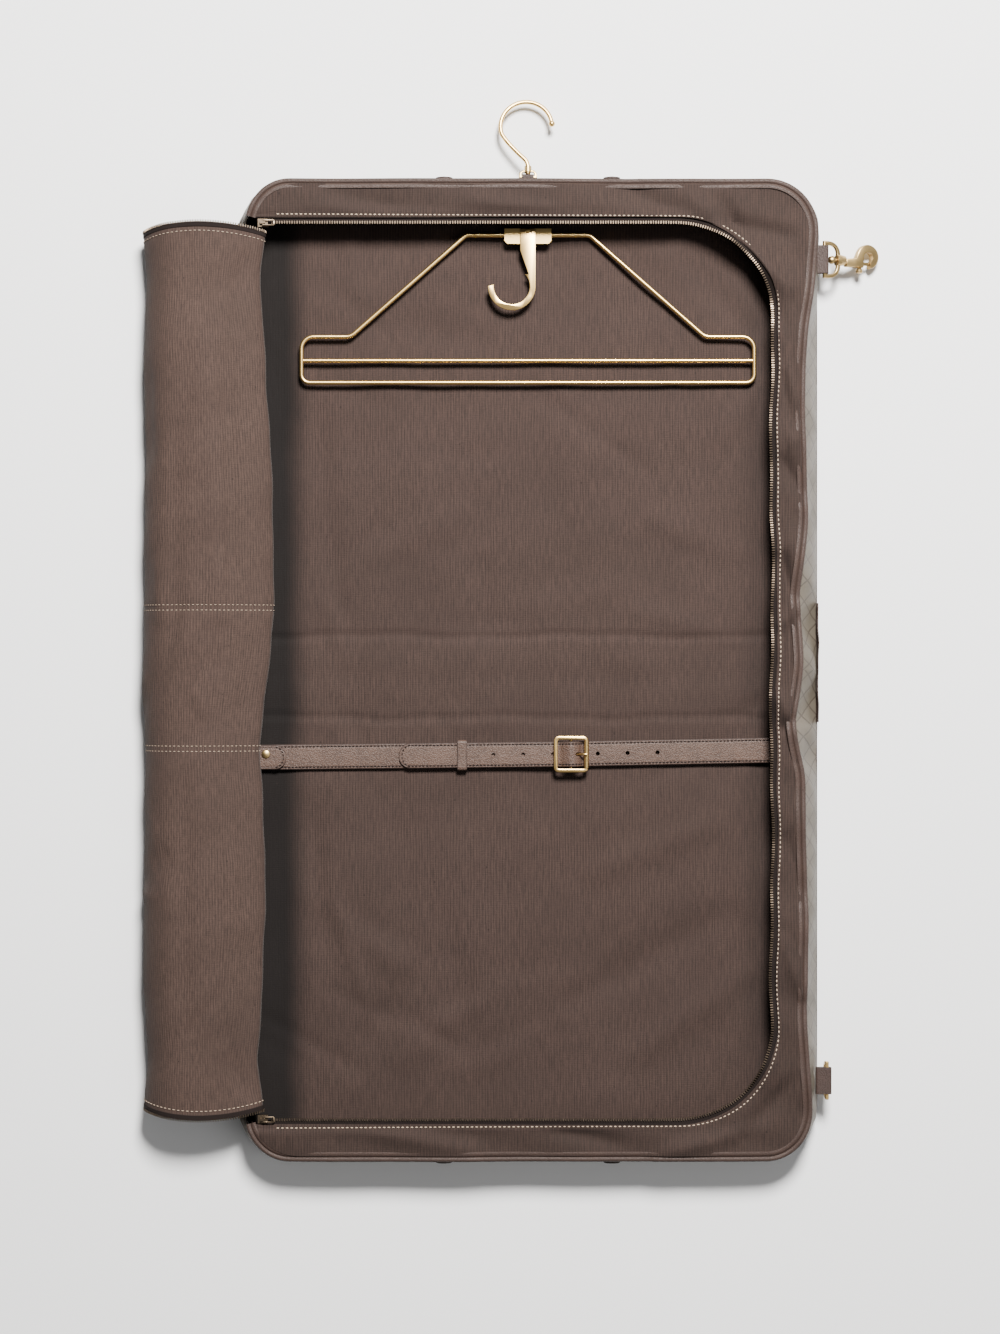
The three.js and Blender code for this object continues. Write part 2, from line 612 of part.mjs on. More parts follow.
// A flat leather carry handle whose legs end in eyes on pins, lying in the back's pocket
function addHandle(name, side) {
  const axisZ0 = handleThickness / 2 + clearance;
  const eyeRadius = handleThickness / 2;
  const pinRadius = 1.5;
  const half = handleSpan / 2;
  const outer = rounded(flat([[-half - handleWidth / 2, 0], [-half - handleWidth / 2, -handleReach],
    [half + handleWidth / 2, -handleReach], [half + handleWidth / 2, 0]]), handleCorner);
  const inner = rounded(flat([[half - handleWidth / 2, 0], [half - handleWidth / 2, -handleReach + handleWidth],
    [-half + handleWidth / 2, -handleReach + handleWidth], [-half + handleWidth / 2, 0]]),
  handleCorner - handleWidth);
  const arch = prism([...outer, ...inner], -handleThickness / 2, handleThickness / 2);
  const eyes = [-half, half].map((x) => rodX(x - handleWidth / 2, x + handleWidth / 2, eyeRadius));
  const bores = [-half, half].map((x) => rodX(x - handleWidth, x + handleWidth, pinRadius + 0.3));
  const group = new THREE.Group();
  group.position.set(0, side * handleAxisY, axisZ0);
  group.rotation.z = side > 0 ? 0 : Math.PI;
  addPiece(`handle_${name}`, cutBy(joined(arch, ...eyes), ...bores), 'leather', group);
  const plateLow = eyeRadius + 0.4;
  const plateHigh = pocketDepth - clearance - axisZ0;
  const outside = handleWidth / 2 + 2.6;
  for (const [word, x] of [['left', -half * side], ['right', half * side]]) {
    const cheeks = [-1, 1].map((way) => box(Math.min(way * (outside - 2.2), way * outside),
      Math.max(way * (outside - 2.2), way * outside), -eyeRadius, eyeRadius, -eyeRadius, plateHigh));
    const plate = box(-outside, outside, -eyeRadius - 1, eyeRadius + 1, plateLow, plateHigh);
    const mount = joined(plate, ...cheeks, rodX(-outside + 1, outside - 1, pinRadius));
    addPiece(`handle_mount_${name}_${word}`, mount.translate(x, 0, 0), 'agedBrass', group);
  }
  bag.add(group);
}

// Holding strap: the buckle side loops round the buckle's middle bar and the tip side is threaded through
function stripAlongX(path, thickness, y, width) {
  const up = path.map((p, i) => {
    const before = path[Math.max(i - 1, 0)];
    const after = path[Math.min(i + 1, path.length - 1)];
    const along = after.clone().sub(before).normalize();
    return new THREE.Vector2(-along.y, along.x);
  });
  const top = path.map((p, i) => p.clone().addScaledVector(up[i], thickness / 2));
  const bottom = path.map((p, i) => p.clone().addScaledVector(up[i], -thickness / 2)).reverse();
  const outline = [...top, ...bottom].map((p) => new THREE.Vector2(p.y, p.x));
  return alongY(outline, y - width / 2, y + width / 2);
}

function buildStrap() {
  const lowZ = strapBase + strapThickness / 2;
  const overZ = lowZ + strapThickness + clearance;
  const end = halfWidth - frontInset - wallThickness - clearance;
  const loopRadius = 4.2;
  const barZ = strapBase + loopRadius;
  const frameZ = overZ + strapThickness / 2 + clearance + buckleWire / 2;
  const y0 = strapY - strapWidth / 2;
  const y1 = strapY + strapWidth / 2;

  const base = box(-end, buckleX, y0, y1, strapBase, strapBase + strapThickness);
  const loop = rodY(y0, y1, loopRadius, 16).translate(buckleX, 0, barZ);
  const bore = rodY(y0 - 1, y1 + 1, barWire / 2 + clearance).translate(buckleX, 0, barZ);
  const slot = box(buckleX - 7, buckleX + 7, strapY - 2.6, strapY + 2.6, strapBase - 1, barZ + 9);
  addPiece('strap_buckle_side', cutBy(joined(base, loop), bore, slot), 'leather');

  const rightBar = buckleX + (buckleWidth - buckleWire) / 2;
  const leftBar = buckleX - (buckleWidth - buckleWire) / 2;
  const over = barZ + loopRadius + clearance + strapThickness / 2;
  const route = new THREE.CatmullRomCurve3(spatial([[end, 0, lowZ], [rightBar + 20, 0, lowZ],
    [rightBar + 1, 0, lowZ + 0.5], [buckleX + 9.6, 0, lowZ + 3], [buckleX + 6.3, 0, over - 2.2],
    [buckleX, 0, over + 0.2], [buckleX - 6, 0, over - 2.4], [buckleX - 10.4, 0, overZ + 0.8],
    [leftBar, 0, overZ], [leftBar - 16, 0, overZ], [strapTipX, 0, overZ]]), false, 'centripetal');
  const path = route.getPoints(50).map((p) => new THREE.Vector2(p.x, p.z)).reverse();
  const taper = prism(rounded(flat([[strapTipX, y0], [end + 1, y0], [end + 1, y1], [strapTipX, y1]]),
    [11, 0, 0, 11], true), 0, bagDepth);
  const strip = solidOf(stripAlongX(path, strapThickness, strapY, strapWidth)).intersect(solidOf(taper));
  const holes = [-2.6, -1.6, -0.6, 0.9, 1.9, 2.9].map((n) => rodZ(-20, 20, holeRadius, 8)
    .translate(buckleX + n * holePitch, strapY, overZ));
  const tongueHole = box(buckleX + 4, buckleX + 11.2, strapY - 1.9, strapY + 1.9, lowZ - 3, over + 3);
  addPiece('strap_tip_side', cutBy(geometryOf(strip), ...holes, tongueHole), 'leather');

  const outY = buckleHeight / 2 - buckleWire / 2;
  const frame = softPlate(rectangle(leftBar - buckleWire / 2, rightBar + barWire / 2, strapY - outY - buckleWire / 2,
    strapY + outY + buckleWire / 2, 5, 4), buckleWire, 0.9, [rectangle(leftBar + buckleWire / 2,
    rightBar - barWire / 2, strapY - outY + buckleWire / 2, strapY + outY - buckleWire / 2, 2, 3).reverse()]);
  const middle = rodY(strapY - outY, strapY + outY, barWire / 2).translate(buckleX, 0, barZ);
  const posts = [-1, 1].map((side) => box(buckleX - 1.5, buckleX + 1.5, strapY + side * outY - 1,
    strapY + side * outY + 1, Math.min(barZ, frameZ) - 1, Math.max(barZ, frameZ)));
  const roomForRoller = box(rightBar - 4, rightBar + 4, strapY - outY + 2.2, strapY + outY - 2.2, frameZ - 4,
    frameZ + 4);
  const rightRod = rodY(strapY - outY, strapY + outY, barWire / 2).translate(rightBar, 0, frameZ);
  const open = cutBy(frame.translate(0, 0, frameZ), roomForRoller);
  addPiece('buckle_frame', joined(open, middle, ...posts, rightRod), 'brass');
  const sleeve = cutBy(rodY(strapY - outY + 2.6, strapY + outY - 2.6, rollerRadius, 14),
    rodY(strapY - buckleHeight, strapY + buckleHeight, barWire / 2 + clearance, 14));
  addPiece('buckle_roller', sleeve.translate(rightBar, 0, frameZ), 'brass');
  const eye = cutBy(rodY(-1.7, 1.7, 3.3, 14), rodY(-3, 3, barWire / 2 + clearance, 14))
    .translate(buckleX, strapY, barZ);
  const restZ = frameZ + rollerRadius + clearance + 1.2;
  const tongue = new THREE.CatmullRomCurve3(spatial([[buckleX + 2.6, strapY, barZ + 0.9],
    [buckleX + 8, strapY, barZ + 3.4], [rightBar - 3.4, strapY, restZ - 0.5], [rightBar + 0.6, strapY, restZ]]));
  addPiece('buckle_tongue', joined(eye, wire(tongue.getPoints(8), 1.2)), 'brass');

  const keeperIn = strapWidth / 2 + 1.1;
  const keeperLow = backThickness + 0.3;
  const keeperHigh = overZ + strapThickness / 2 + 0.5;
  const ring = cutBy(box(keeperX - keeperWidth / 2, keeperX + keeperWidth / 2, strapY - keeperIn - 1.8,
    strapY + keeperIn + 1.8, keeperLow, keeperHigh + 1.4), box(keeperX - keeperWidth, keeperX + keeperWidth,
    strapY - keeperIn, strapY + keeperIn, keeperLow + 1.2, keeperHigh));
  addPiece('strap_keeper', ring, 'leather');

  const tabWidth = 24;
  const tabEnd = rollRight + 15;
  const tabZ = strapBase + strapThickness + clearance;
  addPiece('strap_tab', prism(rounded(flat([[-end, strapY - tabWidth / 2], [tabEnd, strapY - tabWidth / 2],
    [tabEnd, strapY + tabWidth / 2], [-end, strapY + tabWidth / 2]]), [0, 11, 11, 0], true), tabZ,
  tabZ + strapThickness), 'leather');
  addPiece('strap_rivet', turnedX([[0, 0], [0, 4.6], [1, 4], [1.8, 2], [2, 0]]).rotateY(-Math.PI / 2)
    .translate(tabEnd - 20, strapY, tabZ + strapThickness + 0.3), 'agedBrass');
}

buildBackPanel();
buildGusset();
buildPiping();
buildFrontFrame();
buildRoll();
addSlider('top', zipTop, 1);
addSlider('bottom', -zipBottom, -1);
buildHanger();
buildTopHook();
buildSnapHook();
buildSideRing();
addHandle('upper', 1);
addHandle('lower', -1);
buildStrap();

export default bag;
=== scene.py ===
# Garment bag, open on its back: smooth cloth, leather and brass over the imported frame
import json
import math
import bmesh
import bpy
import numpy as np
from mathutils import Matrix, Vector


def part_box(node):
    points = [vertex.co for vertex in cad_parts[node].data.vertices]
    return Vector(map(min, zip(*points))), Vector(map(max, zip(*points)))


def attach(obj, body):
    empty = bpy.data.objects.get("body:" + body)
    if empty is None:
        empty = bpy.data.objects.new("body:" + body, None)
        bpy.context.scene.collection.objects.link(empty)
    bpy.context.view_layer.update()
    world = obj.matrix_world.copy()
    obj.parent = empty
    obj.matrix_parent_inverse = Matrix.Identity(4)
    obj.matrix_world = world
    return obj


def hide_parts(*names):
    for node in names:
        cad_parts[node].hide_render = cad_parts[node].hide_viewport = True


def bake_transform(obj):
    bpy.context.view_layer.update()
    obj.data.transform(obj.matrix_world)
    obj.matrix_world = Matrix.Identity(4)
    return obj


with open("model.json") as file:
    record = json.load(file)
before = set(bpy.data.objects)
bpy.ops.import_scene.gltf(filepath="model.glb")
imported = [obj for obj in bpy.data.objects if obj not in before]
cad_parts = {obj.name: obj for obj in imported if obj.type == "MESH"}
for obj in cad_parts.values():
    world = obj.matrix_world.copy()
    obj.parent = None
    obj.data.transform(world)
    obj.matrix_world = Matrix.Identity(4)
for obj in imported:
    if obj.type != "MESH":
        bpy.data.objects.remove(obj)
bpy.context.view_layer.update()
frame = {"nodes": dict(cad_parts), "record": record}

mm = 0.001
upward = np.array([0.0, 0.0, 1.0])
print("frame loaded:", len(frame["nodes"]), "nodes")


class Value:
    # one socket; arithmetic on it adds Math nodes
    def __init__(self, finish, socket):
        self.finish = finish
        self.socket = socket

    def __add__(self, other):
        return self.finish.math("ADD", self, other)

    def __sub__(self, other):
        return self.finish.math("SUBTRACT", self, other)

    def __rsub__(self, other):
        return self.finish.math("SUBTRACT", other, self)

    def __mul__(self, other):
        return self.finish.math("MULTIPLY", self, other)

    __radd__ = __add__
    __rmul__ = __mul__


class Finish:
    # one material; node() makes every node, math() and mix() are short forms of it
    def __init__(self, name):
        self.material = bpy.data.materials.new(name)
        self.material.use_nodes = True
        self.tree = self.material.node_tree
        self.tree.nodes.clear()

    def node(self, kind, settings=None, sockets=None, out=0):
        made = self.tree.nodes.new("ShaderNode" + kind)
        for key, value in (settings or {}).items():
            setattr(made, key, value)
        for key, value in (sockets or {}).items():
            if isinstance(value, Value):
                self.tree.links.new(value.socket, made.inputs[key])
            else:
                made.inputs[key].default_value = value
        return Value(self, made.outputs[out])

    def math(self, operation, *values):
        return self.node("Math", {"operation": operation}, dict(enumerate(values)))

    def mix(self, amount, first, second):
        return self.node("Mix", {"data_type": "RGBA"}, {0: amount, 6: first, 7: second}, out=2)

    def place(self, kind="Object"):
        where = self.node("TexCoord", out={"Object": 3, "UV": 2}[kind])
        parts = self.tree.nodes.new("ShaderNodeSeparateXYZ")
        self.tree.links.new(where.socket, parts.inputs[0])
        return [Value(self, parts.outputs[i]) for i in range(3)]

    def at(self, x, y, z=0.0):
        return self.node("CombineXYZ", sockets={0: x, 1: y, 2: z})

    def noise(self, vector, scale, detail=3.0, roughness=0.55):
        return self.node("TexNoise", sockets={"Vector": vector, "Scale": scale, "Detail": detail,
                                              "Roughness": roughness})

    def cells(self, vector, scale):
        return self.node("TexVoronoi", sockets={"Vector": vector, "Scale": scale})

    def band(self, value, low, high):
        return self.node("MapRange", {"interpolation_type": "SMOOTHSTEP"},
                         {0: value, 1: low, 2: high, 3: 0.0, 4: 1.0})

    def finished(self, colour, roughness, relief=None, reliefDepth=0.0003, metallic=0.0, fixed=None):
        sockets = {"Base Color": colour, "Roughness": roughness, "Metallic": metallic, **(fixed or {})}
        if relief is not None:
            sockets["Normal"] = self.node("Bump", sockets={"Strength": 1.0, "Distance": reliefDepth,
                                                           "Height": relief})
        surface = self.node("BsdfPrincipled", sockets=sockets)
        output = self.tree.nodes.new("ShaderNodeOutputMaterial")
        self.tree.links.new(surface.socket, output.inputs[0])
        return self.material


def colour(red, green, blue):     # screen colour 0-255 to linear
    screen = np.array([red, green, blue]) / 255
    linear = np.where(screen > 0.04045, ((screen + 0.055) / 1.055) ** 2.4, screen / 12.92)
    return (*linear.tolist(), 1.0)


def dimmed(shade, gain):
    return (*(np.array(shade[:3]) * gain).tolist(), 1.0)


def slubCloth(name, base, settings, kind="Object", paintedShadowBands=()):
    # plain woven cloth: uneven ribs sin(2 pi x / rib) run along y, each broken up by slubs and cross threads
    f = Finish(name)
    x, y, z = f.place(kind)
    if kind == "UV":
        x, y = y, x
    wobble = f.noise(f.at(x * 30.0, y * 16.0), 1.0, 3.0) * 0.0034
    ribs = f.math("SINE", (x + wobble) * (2 * math.pi / settings["rib"])) * 0.5 + 0.5
    fine = f.math("SINE", (x - wobble) * (2 * math.pi / settings["fine"])) * 0.5 + 0.5
    cross = f.math("SINE", (y + wobble) * (2 * math.pi / settings["cross"])) * 0.5 + 0.5
    slub = f.noise(f.at(x * settings["slubAcross"], y * settings["slubAlong"]), 1.0, 4.0, 0.65)
    pick = f.noise(f.at(x * settings["pickAcross"], y * settings["pickAlong"]), 1.0, 3.0, 0.6)
    broad = f.noise(f.at(x, y, z), 8.0, 3.0, 0.6)
    height = ribs * 0.2 + fine * 0.1 + cross * 0.05 + slub * 0.95 + pick * 0.4
    tone = f.band(height, 0.5, 1.25)
    shade = f.mix(tone, dimmed(base, settings["dark"]), dimmed(base, settings["light"]))
    shade = f.mix(f.band(broad, 0.38, 0.68) * settings["patch"], shade, dimmed(base, 0.66))
    for dark, pale, amount in paintedShadowBands:     # painted shade: bands along x where the colour is darkened to stand in for the shadow beside the roll and inside the right-hand zip
        across = (x + (broad - 0.5) * 0.02 - dark) * (1 / (pale - dark))
        shade = f.mix((1 - f.band(across, 0.0, 1.0)) * amount, shade, dimmed(base, 0.12))
    neps = f.band(f.cells(f.at(x * 0.9, y * 0.6, z), 55.0), 0.05, 0.035)
    shade = f.mix(neps * 0.6, shade, dimmed(base, 0.3))
    return f.finished(shade, 0.8 + slub * 0.12, height, settings["depth"],
                      fixed={"Sheen Weight": settings["sheen"], "Sheen Roughness": 0.45,
                             "Specular IOR Level": 0.25})


def pebbledLeather(name, base, settings, kind="UV"):
    # pebbles are rounded cells; the valleys are darker and duller, and rubbed places paler
    f = Finish(name)
    u, v, w = f.place(kind)
    spot = f.at(u, v, w)
    bend = f.noise(spot, 260.0, 2.0)
    pebbles = f.cells(f.at(u + bend * 0.0012, v + bend * 0.0009, w), settings["pebble"])
    fine = f.noise(spot, settings["pebble"] * 2.6, 3.0, 0.6)
    valley = f.band(pebbles, 0.35, 0.75)
    rub = f.band(f.noise(spot, 34.0, 4.0, 0.65), 0.46, 0.66)
    shade = f.mix(valley * 0.75, base, dimmed(base, settings["valley"]))
    shade = f.mix(rub * settings["rub"], shade, dimmed(base, 1.45))
    shade = f.mix(fine * 0.3, shade, dimmed(base, 0.8))
    height = (1 - valley) * 0.75 + fine * 0.35
    return f.finished(shade, settings["gloss"] + valley * 0.2 + fine * 0.08, height, settings["depth"],
                      fixed={"Coat Weight": settings["coat"], "Coat Roughness": 0.35,
                             "Specular IOR Level": 0.45})


def trellisCanvas(name, base, line, settings, kind="UV"):
    # coated canvas printed with a plain diagonal trellis: thin lines where (u + v) or (u - v) is whole
    f = Finish(name)
    u, v, w = f.place(kind)
    one = f.math("PINGPONG", (u + v) * (1 / settings["pitch"]), 0.5)
    two = f.math("PINGPONG", (u - v) * (1 / settings["pitch"]), 0.5)
    lines = 1 - f.band(f.math("MINIMUM", one, two), settings["line"], settings["line"] * 2.2)
    threads = (f.math("SINE", u * (2 * math.pi / 0.0011)) + f.math("SINE", v * (2 * math.pi / 0.0011))) * 0.25
    grime = f.band(f.noise(f.at(u, v, w), 21.0, 4.0, 0.6), 0.42, 0.72)
    shade = f.mix(threads + 0.5, dimmed(base, 0.86), dimmed(base, 1.06))
    shade = f.mix(lines * 0.72, shade, line)
    shade = f.mix(grime * 0.3, shade, dimmed(base, 0.62))
    return f.finished(shade, 0.52 + grime * 0.16, threads - lines * 0.5, 0.00025,
                      fixed={"Coat Weight": 0.12, "Coat Roughness": 0.4})


def wovenTape(name, base):
    # herringbone tape: ribs lean one way and then the other every few millimetres
    f = Finish(name)
    u, v, w = f.place("UV")
    lean = f.math("PINGPONG", v, 0.002)
    ribs = f.math("SINE", (u + lean) * (2 * math.pi / 0.0013)) * 0.5 + 0.5
    fuzz = f.noise(f.at(u, v, w), 900.0, 3.0)
    shade = f.mix(ribs * 0.7 + fuzz * 0.3, dimmed(base, 0.55), dimmed(base, 1.35))
    return f.finished(shade, 0.9, ribs + fuzz * 0.4, 0.0002, fixed={"Specular IOR Level": 0.15})


def metal(name, base, settings):
    # cast metal: worn roughness in patches, hair scratches, darker tarnish in a broad noise
    f = Finish(name)
    x, y, z = f.place()
    spot = f.at(x, y, z)
    patches = f.band(f.noise(spot, settings["patch"], 4.0, 0.6), 0.35, 0.7)
    hairs = f.noise(spot, 700.0, 3.0)
    dents = f.noise(spot, 420.0, 2.0)
    shade = f.mix(patches * settings["tarnish"], base, dimmed(base, 0.5))
    shade = f.mix(f.band(hairs, 0.5, 0.9) * 0.1, shade, dimmed(base, 1.15))
    rough = patches * settings["patchRough"] + hairs * 0.03 + settings["rough"]
    relief = dents * 0.7 + hairs * 0.3 if settings["relief"] else None
    return f.finished(shade, rough, relief, settings["relief"], metallic=1.0)


def thread(name, base):
    # twisted thread: fine slanted ribs
    f = Finish(name)
    x, y, z = f.place()
    twist = f.math("SINE", (x + y + z) * (2 * math.pi / 0.0006)) * 0.5 + 0.5
    fuzz = f.noise(f.at(x, y, z), 1500.0, 2.0)
    shade = f.mix(twist * 0.6 + fuzz * 0.4, dimmed(base, 0.65), dimmed(base, 1.25))
    return f.finished(shade, 0.85, twist, 0.0001, fixed={"Specular IOR Level": 0.2})


finishSettings = {
    "lining": {"rib": 0.0029, "fine": 0.0019, "cross": 0.0021, "slubAcross": 760.0, "slubAlong": 52.0,
               "pickAcross": 190.0, "pickAlong": 900.0, "dark": 0.52, "light": 1.42, "patch": 0.3,
               "depth": 0.0005,
               "sheen": 0.04},
    "flap": {"rib": 0.0027, "fine": 0.0018, "cross": 0.0019, "slubAcross": 760.0, "slubAlong": 80.0,
             "pickAcross": 190.0, "pickAlong": 900.0, "dark": 0.52, "light": 1.48, "patch": 0.35,
             "depth": 0.0004,
             "sheen": 0.05},
    "strap": {"pebble": 760.0, "valley": 0.42, "rub": 0.3, "gloss": 0.42, "depth": 0.0003, "coat": 0.08},
    "piping": {"pebble": 900.0, "valley": 0.6, "rub": 0.3, "gloss": 0.55, "depth": 0.00015, "coat": 0.0},
    "trim": {"pebble": 760.0, "valley": 0.5, "rub": 0.25, "gloss": 0.55, "depth": 0.0002, "coat": 0.0},
    "canvas": {"pitch": 0.021, "line": 0.03},
    "brass": {"patch": 40.0, "tarnish": 0.15, "patchRough": 0.05, "rough": 0.3, "relief": 0},
    "agedBrass": {"patch": 90.0, "tarnish": 0.3, "patchRough": 0.1, "rough": 0.34, "relief": 0},
    "steel": {"patch": 90.0, "tarnish": 0.3, "patchRough": 0.1, "rough": 0.25, "relief": 0.00003},
    "teeth": {"patch": 300.0, "tarnish": 0.5, "patchRough": 0.2, "rough": 0.3, "relief": 0.00003},
}
# painted shadow on the lining: dark bands at x -0.247 to -0.216 beside the roll and 0.246 to 0.205 inside the
# right-hand zip
liningFinish = slubCloth("ribbed lining", colour(55, 42, 37), finishSettings["lining"], "UV",
                         paintedShadowBands=((-0.247, -0.216, 1.0), (0.246, 0.205, 0.45)))
borderFinish = slubCloth("border cloth", colour(50, 38, 33), finishSettings["lining"], "UV")
flapFinish = slubCloth("flap cloth", colour(62, 48, 42), finishSettings["flap"], "UV")
strapFinish = pebbledLeather("pebbled strap leather", colour(82, 62, 52), finishSettings["strap"])
pipingFinish = pebbledLeather("piping leather", colour(58, 42, 35), finishSettings["piping"])
trimFinish = pebbledLeather("trim leather", colour(54, 38, 32), finishSettings["trim"])
trimSolid = pebbledLeather("tab leather", colour(54, 38, 32), finishSettings["trim"], "Object")
edgeFinish = pebbledLeather("painted leather edge", colour(52, 37, 31), finishSettings["piping"])
canvasFinish = trellisCanvas("trellis canvas", colour(98, 90, 78), colour(58, 48, 40),
                             finishSettings["canvas"])
backFinish = trellisCanvas("back trellis canvas", colour(98, 90, 78), colour(58, 48, 40),
                           finishSettings["canvas"], "UV")
tapeFinish = wovenTape("zip tape", colour(30, 23, 21))
brassFinish = metal("polished brass", colour(226, 190, 124), finishSettings["brass"])
agedFinish = metal("aged brass", colour(190, 162, 112), finishSettings["agedBrass"])
steelFinish = metal("spring steel", colour(180, 180, 178), finishSettings["steel"])
teethFinish = metal("zip teeth", colour(112, 98, 84), finishSettings["teeth"])
sliderFinish = metal("zip slider bronze", colour(112, 98, 82), finishSettings["agedBrass"])
paleThread = thread("pale thread", colour(182, 162, 142))
darkThread = thread("dark thread", colour(30, 21, 18))
print("finishes made:", len(bpy.data.materials))


def closedNormals(mesh):     # faces of a closed piece all point outwards
    work = bmesh.new()
    work.from_mesh(mesh)
    bmesh.ops.recalc_face_normals(work, faces=work.faces[:])
    work.to_mesh(mesh)
    work.free()


def meshPiece(name, points, faces, finishes, uv=None, faceFinish=None, closed=True, sharp=48):
    # points in millimetres, uv per face corner in metres, faceFinish the slot number of each face
    mesh = bpy.data.meshes.new(name)
    mesh.from_pydata((np.asarray(points) * mm).tolist(), [], faces)
    if uv is not None:
        layer = mesh.uv_layers.new(name="cloth")
        layer.data.foreach_set("uv", np.asarray(uv, np.float32).ravel())
    if faceFinish is not None:
        mesh.polygons.foreach_set("material_index", np.asarray(faceFinish, np.int32))
    for finish in finishes:
        mesh.materials.append(finish)
    if closed:
        closedNormals(mesh)
    mesh.shade_smooth()
    mesh.set_sharp_from_angle(angle=math.radians(sharp))
    piece = bpy.data.objects.new(name, mesh)
    bpy.context.scene.collection.objects.link(piece)
    return piece


def runLength(points):     # distance along an array of points, from zero
    return np.concatenate([[0.0], np.cumsum(np.linalg.norm(np.diff(points, axis=0), axis=1))])


def gridPiece(name, surface, finishes, loopU=False, loopV=False, splitAt=None, sharp=48, secondColumns=()):
    # a face joins each four neighbours of a (u, v, 3) grid; a looped direction closes on itself, and an
    # open end of a looped grid gets one flat face; columns from splitAt on take the second finish, as
    # secondColumns do
    rows, columns = surface.shape[:2]
    index = np.arange(rows * columns).reshape(rows, columns)
    full = surface
    if loopU:
        index = np.vstack([index, index[:1]])
        full = np.concatenate([full, full[:1]], axis=0)
    if loopV:
        index = np.hstack([index, index[:, :1]])
        full = np.concatenate([full, full[:, :1]], axis=1)
    quads = np.stack([index[:-1, :-1], index[1:, :-1], index[1:, 1:], index[:-1, 1:]], axis=-1).reshape(-1, 4)
    u = runLength(full.mean(axis=1)) * mm if not loopU else runLength(full[:, 0]) * mm
    v = np.concatenate([[0], np.cumsum(np.linalg.norm(np.diff(full, axis=1), axis=2).mean(axis=0))]) * mm
    cornerU, cornerV = np.meshgrid(u, v, indexing="ij")
    flat = np.stack([cornerU, cornerV], axis=-1)
    uv = np.stack([flat[:-1, :-1], flat[1:, :-1], flat[1:, 1:], flat[:-1, 1:]], axis=2).reshape(-1, 2)
    column = np.tile(np.arange(index.shape[1] - 1), index.shape[0] - 1)
    slots = (column >= splitAt).astype(int) if splitAt is not None else np.zeros(len(quads), int)
    slots = np.maximum(slots, np.isin(column, secondColumns))
    faces = quads.tolist()
    if loopV and not loopU:
        ends = [index[0, :-1], index[-1, :-1][::-1]]
        faces += [end.tolist() for end in ends]
        uv = np.concatenate([uv, flat[0, :-1], flat[-1, :-1][::-1]])
        slots = np.concatenate([slots, [0, 0]])
    return meshPiece(name, surface.reshape(-1, 3), faces, finishes, uv, slots, loopV, sharp)


def evenly(points, step, closed=False):     # the same line with points every step millimetres
    points = np.asarray(points, float)
    if closed:
        points = np.concatenate([points, points[:1]])
    along = runLength(points)
    at = np.linspace(0, along[-1], max(int(round(along[-1] / step)), 2) + 1)
    line = np.stack([np.interp(at, along, points[:, k]) for k in range(points.shape[1])], axis=1)
    return line[:-1] if closed else line


def roundedLine(corners, radii, closed=False, count=18):
    # straight runs with an arc of the given radius at each corner, cut back by radius / tan(angle / 2)
    corners = np.asarray(corners, float)
    pieces = []
    for i, radius in enumerate(radii):
        if radius <= 0 or (not closed and i in (0, len(corners) - 1)):
            pieces.append(corners[i:i + 1])
            continue
        before = corners[i - 1] - corners[i]
        after = corners[(i + 1) % len(corners)] - corners[i]
        before, after = before / np.linalg.norm(before), after / np.linalg.norm(after)
        half = math.acos(float(np.clip(before @ after, -1, 1))) / 2
        middle = (before + after) / np.linalg.norm(before + after)
        centre = corners[i] + middle * radius / math.sin(half)
        one = corners[i] + before * radius / math.tan(half) - centre
        two = corners[i] + after * radius / math.tan(half) - centre
        turn = math.pi - 2 * half
        t = np.linspace(0, 1, count)[:, None]
        pieces.append(centre + (np.sin((1 - t) * turn) * one + np.sin(t * turn) * two) / math.sin(turn))
    return np.concatenate(pieces)


def curveThrough(points, closed=False, perSpan=12):
    # Catmull-Rom: each span is a cubic of its four nearest points
    p = np.asarray(points, float)
    if closed:
        a, b, c, d = np.roll(p, 1, 0), p, np.roll(p, -1, 0), np.roll(p, -2, 0)
    else:
        wide = np.concatenate([2 * p[:1] - p[1:2], p, 2 * p[-1:] - p[-2:-1]])
        a, b, c, d = wide[:-3], wide[1:-2], wide[2:-1], wide[3:]
    t = np.linspace(0, 1, perSpan, endpoint=False)[None, :, None]
    a, b, c, d = (q[:, None, :] for q in (a, b, c, d))
    out = 0.5 * (2 * b + (c - a) * t + (2 * a - 5 * b + 4 * c - d) * t ** 2
                 + (3 * b - a - 3 * c + d) * t ** 3)
    out = out.reshape(-1, p.shape[1])
    return out if closed else np.concatenate([out, p[-1:]])


def framesAlong(path, up=upward, closed=False):     # ahead, side = ahead x up, and up square to both
    ahead = np.roll(path, -1, 0) - np.roll(path, 1, 0) if closed else np.gradient(path, axis=0)
    ahead = ahead / np.linalg.norm(ahead, axis=1, keepdims=True)
    side = np.cross(ahead, up)
    side = side / np.linalg.norm(side, axis=1, keepdims=True)
    return ahead, side, np.cross(side, ahead)


def swept(name, path, profile, finishes, up=upward, closed=False, secondColumns=()):
    # the closed profile (side, up) stands on each point of the path, square to it
    path = np.asarray(path, float)
    _, side, lift = framesAlong(path, up, closed)
    profile = np.broadcast_to(profile, (len(path),) + np.shape(profile)[-2:])
    surface = path[:, None] + profile[..., :1] * side[:, None] + profile[..., 1:] * lift[:, None]
    return gridPiece(name, surface, finishes, loopU=closed, loopV=True, secondColumns=secondColumns)


def ringProfile(radius, count=20):     # circle: (r cos a, r sin a)
    a = np.linspace(0, 2 * math.pi, count, endpoint=False)
    return np.stack([radius * np.cos(a), radius * np.sin(a)], axis=1)


